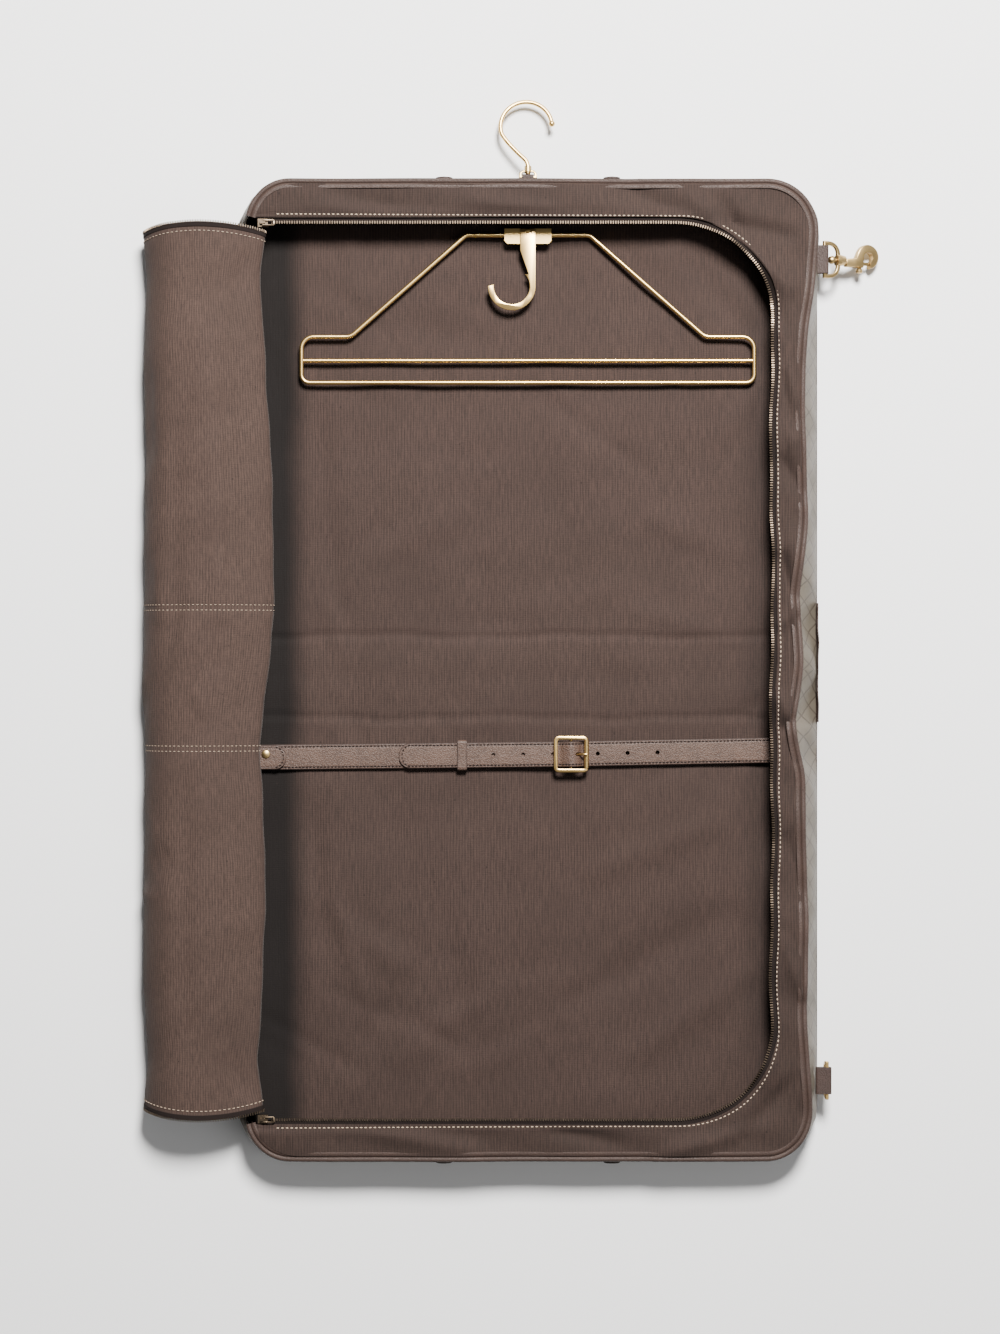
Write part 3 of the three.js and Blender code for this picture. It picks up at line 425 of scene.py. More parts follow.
def strapProfile(width, thickness, groove=0.4, inset=2.5, crown=0.3):
    # flat leather with round edges; a stitch groove near each edge and a slight crown on top
    half = width / 2
    x = np.linspace(-half + thickness * 0.45, half - thickness * 0.45, 25)
    top = thickness / 2 + crown * (1 - (x / half) ** 2) - crown / 2
    top = top - groove * np.exp(-((np.abs(x) - (half - inset)) / 0.55) ** 2)
    bend = np.linspace(math.pi / 2, -math.pi / 2, 7)[1:-1]
    edge = np.stack([half - thickness * 0.45 + np.cos(bend) * thickness * 0.45,
                     np.sin(bend) * thickness * 0.42], axis=1)
    under = np.stack([x[::-1], np.full(len(x), -thickness / 2)], axis=1)
    loop = np.concatenate([np.stack([x, top], axis=1), edge, under, (edge * [-1, 1])[::-1]])
    return loop[::-1]


paintedEdges = (0, 1, 2, 3, 4, 29, 30, 31, 32, 33, 34, 59, 36, 57)     # strapProfile's edges and grooves


def repeated(name, centres, ahead, side, lift, shape, finish):
    # the small shape (ahead, side, up) stands at every centre
    points, faces = shape
    block = centres[:, None] + points[None, :, :1] * ahead[:, None] + points[None, :, 1:2] * side[:, None] \
        + points[None, :, 2:] * lift[:, None]
    step = np.arange(len(centres)) * len(points)
    allFaces = []
    for size in sorted({len(face) for face in faces}):
        some = np.array([face for face in faces if len(face) == size])
        allFaces += (some[None] + step[:, None, None]).reshape(-1, size).tolist()
    return meshPiece(name, block.reshape(-1, 3), allFaces, [finish], sharp=60)


def stitchShape(length, width, height):
    # a short thread: rings of radius sqrt(1 - t^2) between two end points
    t = np.linspace(-1, 1, 6)[1:-1]
    a = np.linspace(0, 2 * math.pi, 6, endpoint=False)
    size = np.sqrt(1 - np.abs(t) ** 2.6)[:, None]
    rings = np.stack([np.repeat(t * length / 2, 6), (size * np.cos(a) * width / 2).ravel(),
                      (size * np.sin(a) * height / 2).ravel()], axis=1)
    points = np.concatenate([rings, [[-length / 2, 0, -height * 0.3], [length / 2, 0, -height * 0.3]]])
    faces = [(r * 6 + k, r * 6 + (k + 1) % 6, r * 6 + 6 + (k + 1) % 6, r * 6 + 6 + k)
             for r in range(3) for k in range(6)]
    faces += [(24, (k + 1) % 6, k) for k in range(6)] + [(25, 18 + k, 18 + (k + 1) % 6) for k in range(6)]
    return points, faces


def blockShape(length, width, height, chamfer):
    # an eight-sided block, standing on its small base
    x, y, c = length / 2, width / 2, chamfer
    ring = np.array([[-x + c, -y], [x - c, -y], [x, -y + c], [x, y - c], [x - c, y], [-x + c, y], [-x, y - c],
                     [-x, -y + c]])
    low = np.column_stack([ring, np.full(8, -height / 2)])
    high = np.column_stack([ring * [0.9, 0.95], np.full(8, height / 2)])
    faces = [(k, (k + 1) % 8, 8 + (k + 1) % 8, 8 + k) for k in range(8)]
    return np.concatenate([low, high]), faces + [tuple(range(7, -1, -1)), tuple(range(8, 16))]


def stitchesAlong(name, path, pitch, finish, up=upward, size=(3.1, 1.1, 0.8)):
    # one stitch every pitch along the line
    line = evenly(path, pitch)
    ahead, _, lift = framesAlong(line, up)
    return repeated(name, line, ahead, np.cross(lift, ahead), lift, stitchShape(*size), finish)


def shell(top, bottom, bulge=0.5):
    # a closed loop of columns: across the top, round one edge, back across the bottom, round the other edge
    def edge(column, inner):
        middle = (top[:, column] + bottom[:, column]) / 2
        out = top[:, column] - top[:, inner]
        out = out / np.linalg.norm(out, axis=1, keepdims=True)
        thick = np.linalg.norm(top[:, column] - bottom[:, column], axis=1, keepdims=True)
        return (middle + out * thick * bulge)[:, None]
    return np.concatenate([top, edge(-1, -2), bottom[:, ::-1], edge(0, 1)], axis=1)


def clothShell(top, thickness):     # the second face lies one thickness behind the first
    along, across = np.gradient(top, axis=0), np.gradient(top, axis=1)
    out = np.cross(along, across)
    out = out / np.linalg.norm(out, axis=2, keepdims=True)
    return shell(top, top - out * thickness, 0.45)


def furrow(x, y, start, end, width, depth):
    # depth * exp(-(distance from the line / width)^2), fading out towards both ends of the line
    dx, dy = end[0] - start[0], end[1] - start[1]
    reach = dx * dx + dy * dy
    t = ((x - start[0]) * dx + (y - start[1]) * dy) / reach
    off = ((x - start[0]) * dy - (y - start[1]) * dx) / math.sqrt(reach)
    fade = np.clip(1 - (2 * t - 1) ** 4, 0, 1)
    return depth * np.exp(-(off / width) ** 2) * np.where((t > 0) & (t < 1), fade, 0)


def ripple(t, seed, waves):     # a sum of sines, each with its own length, height and seeded start
    starts = np.random.default_rng(seed).uniform(0, 2 * math.pi, len(waves))
    return sum(h * np.sin(2 * math.pi * t / w + s) for (w, h), s in zip(waves, starts))


def ease(t):     # smooth step from 0 to 1
    t = np.clip(t, 0, 1)
    return t * t * (3 - 2 * t)


def placed(piece, body, nodes=()):
    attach(piece, body)
    return known(piece, nodes)


def known(piece, nodes=()):
    if nodes:
        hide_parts(*nodes)
    return piece


def bentAtFold(piece, nodes=()):
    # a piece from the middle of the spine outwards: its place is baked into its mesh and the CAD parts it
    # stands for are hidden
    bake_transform(piece)
    return known(piece, nodes)


halves = (("upper", 1), ("lower", -1))
bodyOf = {node: body for body, nodes in frame["record"]["behaviour"]["bodies"].items() for node in nodes}


def planMapped(piece):     # the cloth keeps its threads and print when it folds: uv is (y, x) at rest
    mesh = piece.data
    where = np.empty(len(mesh.vertices) * 3, np.float32)
    mesh.vertices.foreach_get("co", where)
    corner = np.empty(len(mesh.loops), np.int32)
    mesh.loops.foreach_get("vertex_index", corner)
    layer = mesh.uv_layers[0] if mesh.uv_layers else mesh.uv_layers.new(name="cloth")
    layer.data.foreach_set("uv", np.ascontiguousarray(where.reshape(-1, 3)[corner][:, [1, 0]]).ravel())


def spanOf(node):     # a CAD node's lowest and highest corner in millimetres
    low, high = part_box(node)
    return np.array(low) / mm, np.array(high) / mm


# The bag's outline; rightEdge is the wander of the soft front seam on the right, as (y, x)
bag = {"halfX": spanOf("gusset_upper")[1][0], "halfY": spanOf("gusset_upper")[1][1], "corner": 54.0,
       "leftInset": 8.0, "endInset": 1.0, "backTop": spanOf("back_upper")[1][2],
       "frontTop": spanOf("border_upper")[1][2], "collapsed": 21.0,
       "rightEdge": [(-491, 285), (-435, 284), (-350, 278), (-244, 280), (-155, 277), (-105, 277), (-72, 269),
                     (-50, 266), (-20, 272), (6, 275), (45, 273), (75, 271), (105, 275), (146, 280),
                     (262, 276),
                     (305, 277), (339, 279), (382, 286), (432, 290), (491, 290)]}


def softLine(knots, y, half, spacing, reach, width):     # lines between the knots, softened by a bell
    knots = np.array(knots, float)
    fine = np.linspace(-half, half, 2 * half // spacing + 1)
    bell = np.exp(-(np.arange(-reach, reach + 1) / width) ** 2)
    line = np.pad(np.interp(fine, knots[:, 0], knots[:, 1]), reach, "edge")
    return np.interp(y, fine, np.convolve(line, bell / bell.sum(), "valid"))


def rightEdge(y):     # how far right the front seam lies at each y
    return softLine(bag["rightEdge"], y, 520, 1, 40, 12)


def rim(sign, share, inward=0.0, step=4.0):
    # half of the outline, from the left side of the spine round the end to the right side of the spine;
    # share 0 is the back seam and share 1 the front seam, which lies further in by the lean of the wall
    x, y, r = bag["halfX"], bag["halfY"], bag["corner"]
    base = evenly(roundedLine([(-x, 0), (-x, y), (x, y), (x, 0)], [0, r, r, 0]), step)
    ahead = np.gradient(base, axis=0)
    ahead = ahead / np.linalg.norm(ahead, axis=1, keepdims=True)
    out = np.stack([-ahead[:, 1], ahead[:, 0]], axis=1)
    right = x - rightEdge(sign * base[:, 1])
    lean = out[:, 0] ** 2 * np.where(out[:, 0] > 0, right, bag["leftInset"])
    lean = lean + out[:, 1] ** 2 * bag["endInset"]
    line = base - out * (lean * share + inward)[:, None]
    flip = np.array([1, sign])
    return line * flip, out * flip


frontFolds = [((150, 482), (268, 372), 9, 2.6), ((190, 476), (258, 335), 7, -2.6),
              ((90, 484), (150, 452), 9, -1.6),
              ((170, 452), (272, 430), 8, -1.8), ((252, 300), (266, 230), 6, -2.0),
              ((252, 150), (262, -10), 5, -2.2),
              ((258, 330), (266, 190), 7, 1.8), ((249, 215), (282, 165), 7, -1.6),
              ((250, 120), (278, 40), 8, -2.6),
              ((247, 40), (276, 70), 7, 1.8), ((246, -20), (278, -86), 8, 2.6),
              ((250, -62), (276, -40), 6, -2.0),
              ((252, -160), (280, -235), 9, -1.8), ((250, -260), (276, -330), 8, 1.6),
              ((120, -486), (240, -452), 9, 2.0), ((210, -470), (272, -400), 8, -1.8),
              ((-70, 472), (40, 453), 10, 1.3), ((-210, 478), (-120, 456), 9, -1.2),
              ((-160, -458), (-40, -480), 9, 1.4), ((20, -456), (100, -474), 8, -1.2)]


def frontLift(x, y):
    # how far the front face stands off its plane: folds and long waves, none where the zip sliders run
    lift = 2.2 * sum(furrow(x, y, *fold) for fold in frontFolds)
    lift = lift + ripple(y + 0.4 * x, 4, [(310, 1.3), (127, 1.1), (53, 0.8)])
    calmEnd, calmFade, calmY, calmHalf = 160, 40, 448, 11
    return lift * (1 - ease((calmEnd - x) / calmFade) * np.exp(-((np.abs(y) - calmY) / calmHalf) ** 4))


# Padded back: lining above, canvas below, and a shallow hollow under each half for its handle
pad = {"step": 3.6, "seamInset": 5.8, "round": 5.0, "under": 0.8, "hollow": 7.2, "hollowHalf": 97.0,
       "hollowStart": 384.0, "creases": [(34, -1.9, 3.2), (-48, -1.7, 3.0), (8, 0.7, 14), (-22, 0.6, 12)],
       "besideRoll": (-246, 15, 2.2), "besideZip": (236, 12, 2.0), "underBracket": (424, 38, 26, 3.0),
       "strapY": -84.5, "strapReach": 26}


def seededFolds(seed, count, area, length, width, depth):     # soft random furrows inside an area
    rng = np.random.default_rng(seed)
    x0, x1, y0, y1 = area
    folds = []
    for _ in range(count):
        x, y, a = rng.uniform(x0, x1), rng.uniform(y0, y1), rng.uniform(0, math.pi)
        run = rng.uniform(*length)
        folds.append(((x, y), (x + run * math.cos(a), y + run * math.sin(a)), rng.uniform(*width),
                      rng.uniform(*depth) * rng.choice([-1, 1])))
    return folds


padFolds = seededFolds(11, 52, (-240, 230, -430, 430), (80, 200), (8, 17), (0.5, 1.7)) + [
    ((50, -210), (200, -150), 15, 2.6), ((30, -345), (215, -235), 17, -2.8),
    ((90, -400), (232, -300), 15, 2.8),
    ((-70, -390), (80, -335), 17, -1.8), ((110, 160), (225, 110), 16, 2.0), ((90, 66), (220, 28), 11, 1.6),
    ((150, 420), (232, 330), 14, -2.2), ((-215, 300), (-190, 40), 12, -2.0),
    ((-220, -120), (-196, -330), 12, -2.2)]


def liningHeight(x, y):
    # plane + long waves + seeded folds + cross creases at the fold lines - hollows beside the roll and the
    # zip and under the hanger's bracket; nothing rises under the strap
    lift = ripple(x + 0.3 * y, 7, [(190, 0.5), (83, 0.35)]) + ripple(y - 0.2 * x, 8, [(230, 0.6), (97, 0.4)])
    lift = lift + sum(furrow(x, y, *fold) for fold in padFolds)
    for place, depth, width in pad["creases"]:
        line = place + ripple(x, int(abs(place)), [(210, 1.6), (77, 0.8)])
        lift = lift + depth * np.exp(-((y - line) / width) ** 2)
    for place, width, depth in (pad["besideRoll"], pad["besideZip"]):
        lift = lift - depth * np.exp(-((x - place) / width) ** 2)
    middle, halfAcross, halfAlong, depth = pad["underBracket"]
    lift = lift - depth * np.exp(-(x / halfAcross) ** 4) * np.exp(-((y - middle) / halfAlong) ** 4)
    strapNear = np.exp(-((y - pad["strapY"]) / pad["strapReach"]) ** 4)
    return bag["backTop"] + np.where(lift > 0, lift * (1 - strapNear), lift) - 0.2


def buildBack(word, sign):
    # rows across the bag: x = u w(y), where w(y) follows the round corners; top and bottom meet at the edge
    halfX, halfY = bag["halfX"] - pad["seamInset"], bag["halfY"] - pad["seamInset"]
    r = bag["corner"] - pad["seamInset"]
    y = np.linspace(0, 1, int(halfY / pad["step"])) * halfY
    over = np.clip(y - (halfY - r), 0, r * 0.999)
    w = halfX - r + np.sqrt(r * r - over * over)
    u = np.linspace(-1, 1, int(2 * halfX / pad["step"]))
    x = w[:, None] * u[None]
    y = np.broadcast_to(y[:, None], x.shape)
    edge = np.minimum(w[:, None] - np.abs(x), halfY - y)
    drop = pad["round"] * (1 - np.sqrt(np.clip(1 - (1 - np.clip(edge / pad["round"], 0, 1)) ** 2, 0, 1)))
    hollow = ease((pad["hollowHalf"] + 3 - np.abs(x)) / 6) * ease((y - pad["hollowStart"] + 3) / 6)
    top = liningHeight(x, sign * y) - drop * 0.75
    low = pad["under"] + drop * 0.6 + hollow * pad["hollow"]
    low = np.minimum(low, top - 1.6)
    high = np.stack([x, sign * y, top], axis=2)
    deep = np.stack([x, sign * y, low], axis=2)
    return gridPiece("back_pad_" + word, shell(high, deep, 0.2), [liningFinish, backFinish], loopV=True,
                     splitAt=x.shape[1] - 1)


for word, sign in halves:
    made = buildBack(word, sign)
    planMapped(made)
    bentAtFold(made, ["back_" + word] + (["back_spine"] if sign > 0 else []))
print("back pads made")

# Gusset: canvas walls outside, lining inside, puckered at the spine
wall = {"bottom": 9.5, "top": 40.0, "thickness": 1.3, "columns": 14, "belly": 1.4,
        "puckers": [(46, 20, -4.0), (92, 12, 2.4), (4, 16, 2.6), (-34, 13, -2.6), (-62, 9, 2.0),
                    (-88, 12, -3.0),
                    (180, 30, -2.0), (330, 26, -2.4), (-300, 34, -2.0)]}


def wallGrid(sign):
    # seam to seam: straight lean, plus a belly sin(pi h) that swells and is drawn in at the puckers
    h = np.linspace(0, 1, wall["columns"])
    grid = []
    for share in h:
        line, out = rim(sign, share, 0.6)
        y = line[:, 1]
        onRight = np.clip(out[:, 0], 0, 1) ** 2
        onLeft = np.clip(-out[:, 0], 0, 1) ** 2 * ease((462 - np.abs(y)) / 22)
        draw = sum(depth * np.exp(-((y - place) / width) ** 2) for place, width, depth in wall["puckers"])
        wave = ripple(y + line[:, 0], 21, [(64, 0.5), (29, 0.35), (17, 0.2)])
        belly = (wall["belly"] + wave + draw * onRight) * math.sin(math.pi * share)
        belly = belly + onLeft * 2.2 * math.sin(3 * math.pi * share)
        top = wall["top"] + frontLift(line[:, 0], y) * 0.9
        top = top + (bag["collapsed"] - 2 - top) * onLeft
        z = wall["bottom"] + share * (top - wall["bottom"])
        grid.append(np.column_stack([line + out * belly[:, None], z]))
    return np.stack(grid, axis=1)


for word, sign in halves:
    grid = wallGrid(sign)
    made = gridPiece("gusset_wall_" + word, clothShell(grid, wall["thickness"] * -sign),
                     [canvasFinish, liningFinish], loopV=True, splitAt=wall["columns"] - 1)
    spines = ["gusset_spine_left", "gusset_spine_right"] if sign > 0 else []
    bentAtFold(made, ["gusset_" + word] + spines)
print("gusset walls made")

# Piping: a leather cord with its flat binding, along both seams
piping = {"frontRadius": 2.7, "frontZ": 41.9, "flange": 4.6, "backRadius": 2.8, "backZ": 8.2}


def cordWithFlange(radius, reach, thickness=1.5):
    # a circle that opens on its inner side into a flat flange with a raised lip at its edge
    a = np.linspace(math.radians(-148), math.radians(148), 22)
    cord = np.stack([radius * np.cos(a), radius * np.sin(a)], axis=1)
    low, high = 2.3 - thickness * 0.2, 2.3 + thickness * 0.5
    flange = np.array([[-radius - 0.6, high - 0.5], [-radius - reach * 0.4, high],
                       [-radius - reach * 0.75, high + 0.35], [-radius - reach, high + 0.1],
                       [-radius - reach - 0.35, (low + high) / 2],
                       [-radius - reach, low], [-radius - 0.6, low]])
    return np.concatenate([cord, flange])


for word, sign in halves:
    line, out = rim(sign, 1, 3.0, 3.0)
    keep = np.argmax(np.abs(line[:, 1]) > 452)
    line = line[keep:]
    z = piping["frontZ"] + frontLift(line[:, 0], line[:, 1])
    path = np.column_stack([line, z])
    profile = cordWithFlange(piping["frontRadius"], piping["flange"])
    ahead, side, lift = framesAlong(path)
    outward = 1 if (side[10] @ np.array([*out[keep + 10], 0])) > 0 else -1
    made = swept("front_piping_cord_" + word, path, profile * [outward, 1], [pipingFinish])
    spine = ["front_piping_spine"] if sign > 0 else []
    bentAtFold(made, ["front_piping_" + word] + spine)
    stitchLine = path.copy()
    stitchLine[:, :2] -= out[keep:] * (piping["frontRadius"] + 1.6)
    stitchLine[:, 2] += 1.35
    made = stitchesAlong("front_piping_stitches_" + word, stitchLine, 4.4, darkThread, size=(2.9, 0.8, 0.6))
    bentAtFold(made)
    line, out = rim(sign, 0, piping["backRadius"])
    path = np.column_stack([line, np.full(len(line), piping["backZ"])])
    made = swept("back_piping_cord_" + word, path, ringProfile(piping["backRadius"], 14), [pipingFinish])
    spine = ["back_piping_spine_left", "back_piping_spine_right"] if sign > 0 else []
    bentAtFold(made, ["back_piping_" + word] + spine)
print("piping made")

# Front frame: the cloth border, the zip tape under its edge and the teeth
zipper = {"right": 243.0, "top": 446.0, "bottom": 448.0, "corner": 94.0, "left": -270.0, "hem": 5.2,
          "tapeWidth": 12.0, "tapeTop": 42.2, "teethZ": 41.7, "pitch": 2.5}
border = {"outerX": 277.1, "outerY": 483.6, "outerCorner": 47.6, "thickness": 2.4, "columns": 18,
          "left": -274.0}


def zipRun(sign, outward, step=3.0):
    # one half of the zip line: along the end, round the corner, down the right side to the spine
    y = (zipper["top"] if sign > 0 else zipper["bottom"]) + outward
    x = zipper["right"] + outward
    line = roundedLine([(zipper["left"], y), (x, y), (x, 0)], [0, zipper["corner"] + outward, 0], count=60)
    line = evenly(line, step)
    wave = ripple(line[:, 1] * sign, 31, [(260, 1.1), (92, 0.7)]) * ease((line[:, 0] - 150) / 90)
    line[:, 0] += wave
    sway = ripple(line[:, 0], 32, [(240, 0.6), (88, 0.4)]) * ease((y - 40 - line[:, 1]) / -40)
    line[:, 1] += sway * ease((line[:, 0] - 125) / 40)     # straight where the sliders run
    return line * [1, sign]


def borderGrid(sign):
    # straight across from the hem to the outer seam: (1 - t) inner + t outer, both walked in step
    y = (zipper["top"] if sign > 0 else zipper["bottom"]) + zipper["hem"]
    counts = (70, 34, 100)
    innerR, outerR = zipper["corner"] + zipper["hem"], border["outerCorner"]
    innerX = zipper["right"] + zipper["hem"]

    def run(x, top, r):
        a = np.linspace(math.pi / 2, 0, counts[1] + 1)[1:]
        along = np.linspace(border["left"], x - r, counts[0])
        down = np.linspace(top - r, 0, counts[2] + 1)[1:]
        return np.concatenate([np.column_stack([along, np.full(counts[0], top)]),
                               np.column_stack([x - r + r * np.cos(a), top - r + r * np.sin(a)]),
                               np.column_stack([np.full(counts[2], x), down])])
    inner = run(innerX, y, innerR)
    outer = run(border["outerX"], border["outerY"], outerR)
    round_ = np.clip(-(outer[:, 0] + border["outerX"] - outerR), 0, outerR * 0.999)
    outer[:, 1] -= outerR - np.sqrt(outerR ** 2 - round_ ** 2)
    near = ease((outer[:, 0] - 140) / 120)
    followed = rightEdge(sign * outer[:, 1]) - 6.2 - border["outerX"]
    outer[:, 0] += followed * near * ease((outer[:, 0] - 200) / 60)
    inner[:, 0] += ripple(inner[:, 1] * sign, 31, [(260, 1.1), (92, 0.7)]) * ease((inner[:, 0] - 150) / 90)
    outer[:, 1] = np.where(outer[:, 0] < -200, np.maximum(outer[:, 1], inner[:, 1] + 1.5), outer[:, 1])
    t = np.linspace(0, 1, border["columns"])[None, :, None]
    plan = (inner[:, None] * (1 - t) + outer[:, None] * t) * [1, sign]
    gap = np.linalg.norm(plan - plan[:, :1], axis=2)
    z = bag["frontTop"] - 0.4 + frontLift(plan[..., 0], plan[..., 1])
    z = z - 0.5 * np.exp(-((gap - 2.6) / 0.9) ** 2)     # the row of stitches presses the cloth in
    z = z + 0.5 * np.exp(-((gap - 7) / 6) ** 2)
    return np.concatenate([plan, z[..., None]], axis=2)


for word, sign in halves:
    grid = borderGrid(sign)
    made = gridPiece("front_border_" + word, clothShell(grid, border["thickness"] * sign),
                     [borderFinish], loopV=True)
    planMapped(made)
    bentAtFold(made, ["border_" + word] + (["border_spine"] if sign > 0 else []))
    away = grid[4:, 3] - grid[4:, 0]
    away = away / np.linalg.norm(away, axis=1, keepdims=True)
    made = stitchesAlong("border_stitches_" + word, grid[4:, 0] + away * 2.6 + [0, 0, 0.15], 4.6, paleThread,
                         size=(3.0, 1.2, 0.9))
    bentAtFold(made)
    inner, outer = zipRun(sign, 0), zipRun(sign, zipper["tapeWidth"])
    count = 320
    inner, outer = (np.stack([np.interp(np.linspace(0, 1, count), np.linspace(0, 1, len(q)), q[:, k])
                              for k in range(2)], axis=1) for q in (inner, outer))
    t = np.linspace(0, 1, 6)[None, :, None]
    plan = inner[:, None] * (1 - t) + outer[:, None] * t
    z = zipper["tapeTop"] + frontLift(plan[..., 0], plan[..., 1])
    grid = np.concatenate([plan, z[..., None]], axis=2)
    made = gridPiece("zip_tape_cloth_" + word, clothShell(grid, 1.0 * sign), [tapeFinish], loopV=True)
    spine = ["zip_tape_spine"] if sign > 0 else []
    bentAtFold(made, ["zip_tape_" + word] + spine)
    line = zipRun(sign, -0.2)
    line = line[line[:, 0] > -256]
    path = np.column_stack([line, zipper["teethZ"] + 0.3 + frontLift(line[:, 0], line[:, 1])])
    teeth = evenly(path, zipper["pitch"])
    ahead, side, lift = framesAlong(teeth)
    made = repeated("zip_teeth_" + word, teeth, ahead, side, lift, blockShape(1.2, 3.0, 3.2, 0.3),
                    teethFinish)
    bentAtFold(made)
print("front frame made")

# Rolled flap: one sheet wound into a flattened spiral, with the zip's other half on its two curved ends
roll = {"section": [(-264, 28), (-258, 40), (-270, 49), (-298, 57), (-334, 61), (-362, 57), (-382, 43),
                    (-390, 25), (-382, 8), (-360, 1.5), (-330, 3), (-306, 13), (-291, 25.5)],
        "centre": (-324, 31), "turns": 2.15, "shrink": 0.17, "thickness": 2.0, "across": 150, "step": 4.5,
        "right": -258.0, "left": -390.0, "endBulge": 9.0, "seams": [(62, 0.9), (-78, 0.9)],
        "rightEdge": [(450, -262), (360, -265), (250, -257), (150, -254), (65, -254), (5, -257), (-50, -264),
                      (-75, -268), (-130, -263), (-250, -263), (-370, -266), (-450, -262)],
        "folds": seededFolds(5, 30, (0.02, 0.8, -430, 430), (40, 170), (7, 14), (0.8, 2.4)) + [
            ((0.17, 350), (6.17, 30), 9, -3.2), ((0.12, 20), (4.12, -260), 9, -2.6),
            ((0.24, 300), (-7.76, 60), 12, 2.2),
            ((0.36, 250), (6.36, -40), 12, -2.2), ((0.16, -150), (-3.84, -420), 10, 2.4),
            ((0.33, -90), (-5.67, -380), 13, -2.4), ((0.1, 420), (40.1, 330), 9, -2.4),
            ((0.1, -430), (44.1, -350), 9, -2.2), ((0.2, 120), (50.2, 40), 10, 1.6)]}


def rollSection(turn):     # x and z of the roll's outline at a share of its girth
    ring = curveThrough(np.array(roll["section"], float), closed=True, perSpan=24)
    ring = np.concatenate([ring, ring[:1]])
    share = runLength(ring) / runLength(ring)[-1]
    return [np.interp(turn % 1.0, share, ring[:, k]) for k in range(2)]


def rollPoints(turn, y, out=0.0):
    # centre + (section - centre) * (1 - shrink * turns so far), nudged by folds, seams and long waves
    x, z = rollSection(turn)
    cx, cz = roll["centre"]
    scale = 1 - roll["shrink"] * turn
    outside = turn < 1.02
    girth = turn * 330
    soft = sum(furrow(girth, y, (a[0] * 330, a[1]), (a[0] * 330 + (b[0] - a[0]) * 0.5, b[1]), w, d)
               for a, b, w, d in roll["folds"])
    soft = soft + ripple(y + girth * 0.4, 41, [(330, 1.0), (140, 0.7), (61, 0.4)])
    soft = soft - 3.5 * np.exp(-((np.abs(y) - 385) / 34) ** 2)
    seam = sum(-depth * np.exp(-((y - place) / 1.5) ** 2) for place, depth in roll["seams"])
    push = (soft * 0.95 + seam) * outside + out
    reach = np.hypot(x - cx, z - cz) + 1e-6
    x = cx + (x - cx) * scale * (1 + push / reach)
    z = cz + (z - cz) * scale * (1 + push / reach)
    wander = softLine(roll["rightEdge"][::-1], y, 500, 2, 20, 9) - roll["right"]
    x = x + wander * np.clip((x - roll["left"]) / 132, 0, 1) ** 1.5
    return np.stack(np.broadcast_arrays(x, y, z), axis=-1)


def rollEnd(turn, sign):     # the curved end: a low arch across the roll, y = end - 9 + 32 t (1 - t)
    x = rollSection(turn)[0]
    t = np.clip((roll["right"] - x) / (roll["right"] - roll["left"]), 0, 1)
    end = zipper["top"] if sign > 0 else zipper["bottom"]
    return end - 0.6 - roll["endBulge"] + 32 * t * (1 - t) - 2.0 * np.floor(turn) - 1.5


for word, sign in halves:
    turn = np.linspace(0, roll["turns"], int(roll["across"] * roll["turns"]))
    along = np.linspace(0, 1, int(450 / roll["step"]))
    y = sign * along[:, None] * rollEnd(turn, sign)[None]
    grid = rollPoints(turn[None], y)
    made = gridPiece("rolled_flap_" + word, clothShell(grid, roll["thickness"] * sign),
                     [flapFinish, canvasFinish], loopV=True, splitAt=len(turn) - 1)
    spine = ["flap_roll_spine"] if sign > 0 else []
    bentAtFold(made, ["flap_roll_" + word] + spine)
    turn = np.linspace(0.015, 1.0, 130)
    inward = np.linspace(-3.2, 1.2, 5)
    end = rollEnd(turn, sign)
    grid = rollPoints(turn[:, None], sign * (end[:, None] + inward[None]), 0.9)
    made = gridPiece("flap_zip_tape_" + word, clothShell(grid, -sign * 0.8), [tapeFinish], loopV=True)
    bentAtFold(made)
    path = rollPoints(turn, sign * (end + 2.0), 0.4)
    teeth = evenly(path, zipper["pitch"])
    ahead, side, lift = framesAlong(teeth, np.array([0.0, sign, 0.0]))
    made = repeated("flap_zip_teeth_" + word, teeth, ahead, side, lift, blockShape(1.2, 2.2, 2.4, 0.3),
                    teethFinish)
    bentAtFold(made)
    path = rollPoints(turn, sign * (end - 7.5), 0.35)
    made = stitchesAlong("flap_end_stitches_" + word, path, 4.6, paleThread, up=np.array([0.0, sign, 0.0]))
    bentAtFold(made)
    place = [p for p, d in roll["seams"] if p * sign > 0][0]
    turn = np.linspace(0.0, 0.72, 120)
    for k, shift in enumerate((-2.6, 2.6)):
        path = rollPoints(turn, np.full(len(turn), place + shift), 0.1)
        made = stitchesAlong("flap_seam_stitches_" + word + "_" + str(k), path, 4.4, paleThread,
                             up=np.array([0.0, 1.0, 0.0]), size=(2.7, 0.6, 0.6))
        bentAtFold(made)
print("rolled flap made")

# Leather covers the spine outside, on both walls and across the back
cover = {"reach": 58.0, "thickness": 1.2, "top": 19.0}


def coverPath(x0):     # from one wall, down, across the underside and up the other wall, as (x, z)
    corners = [(-x0 - 1.2, 20.0), (-x0 - 1.6, 0.0), (x0 + 1.6, 0.0), (x0 + 0.4, cover["top"])]
    return roundedLine(corners, [0, 7, 7, 0])


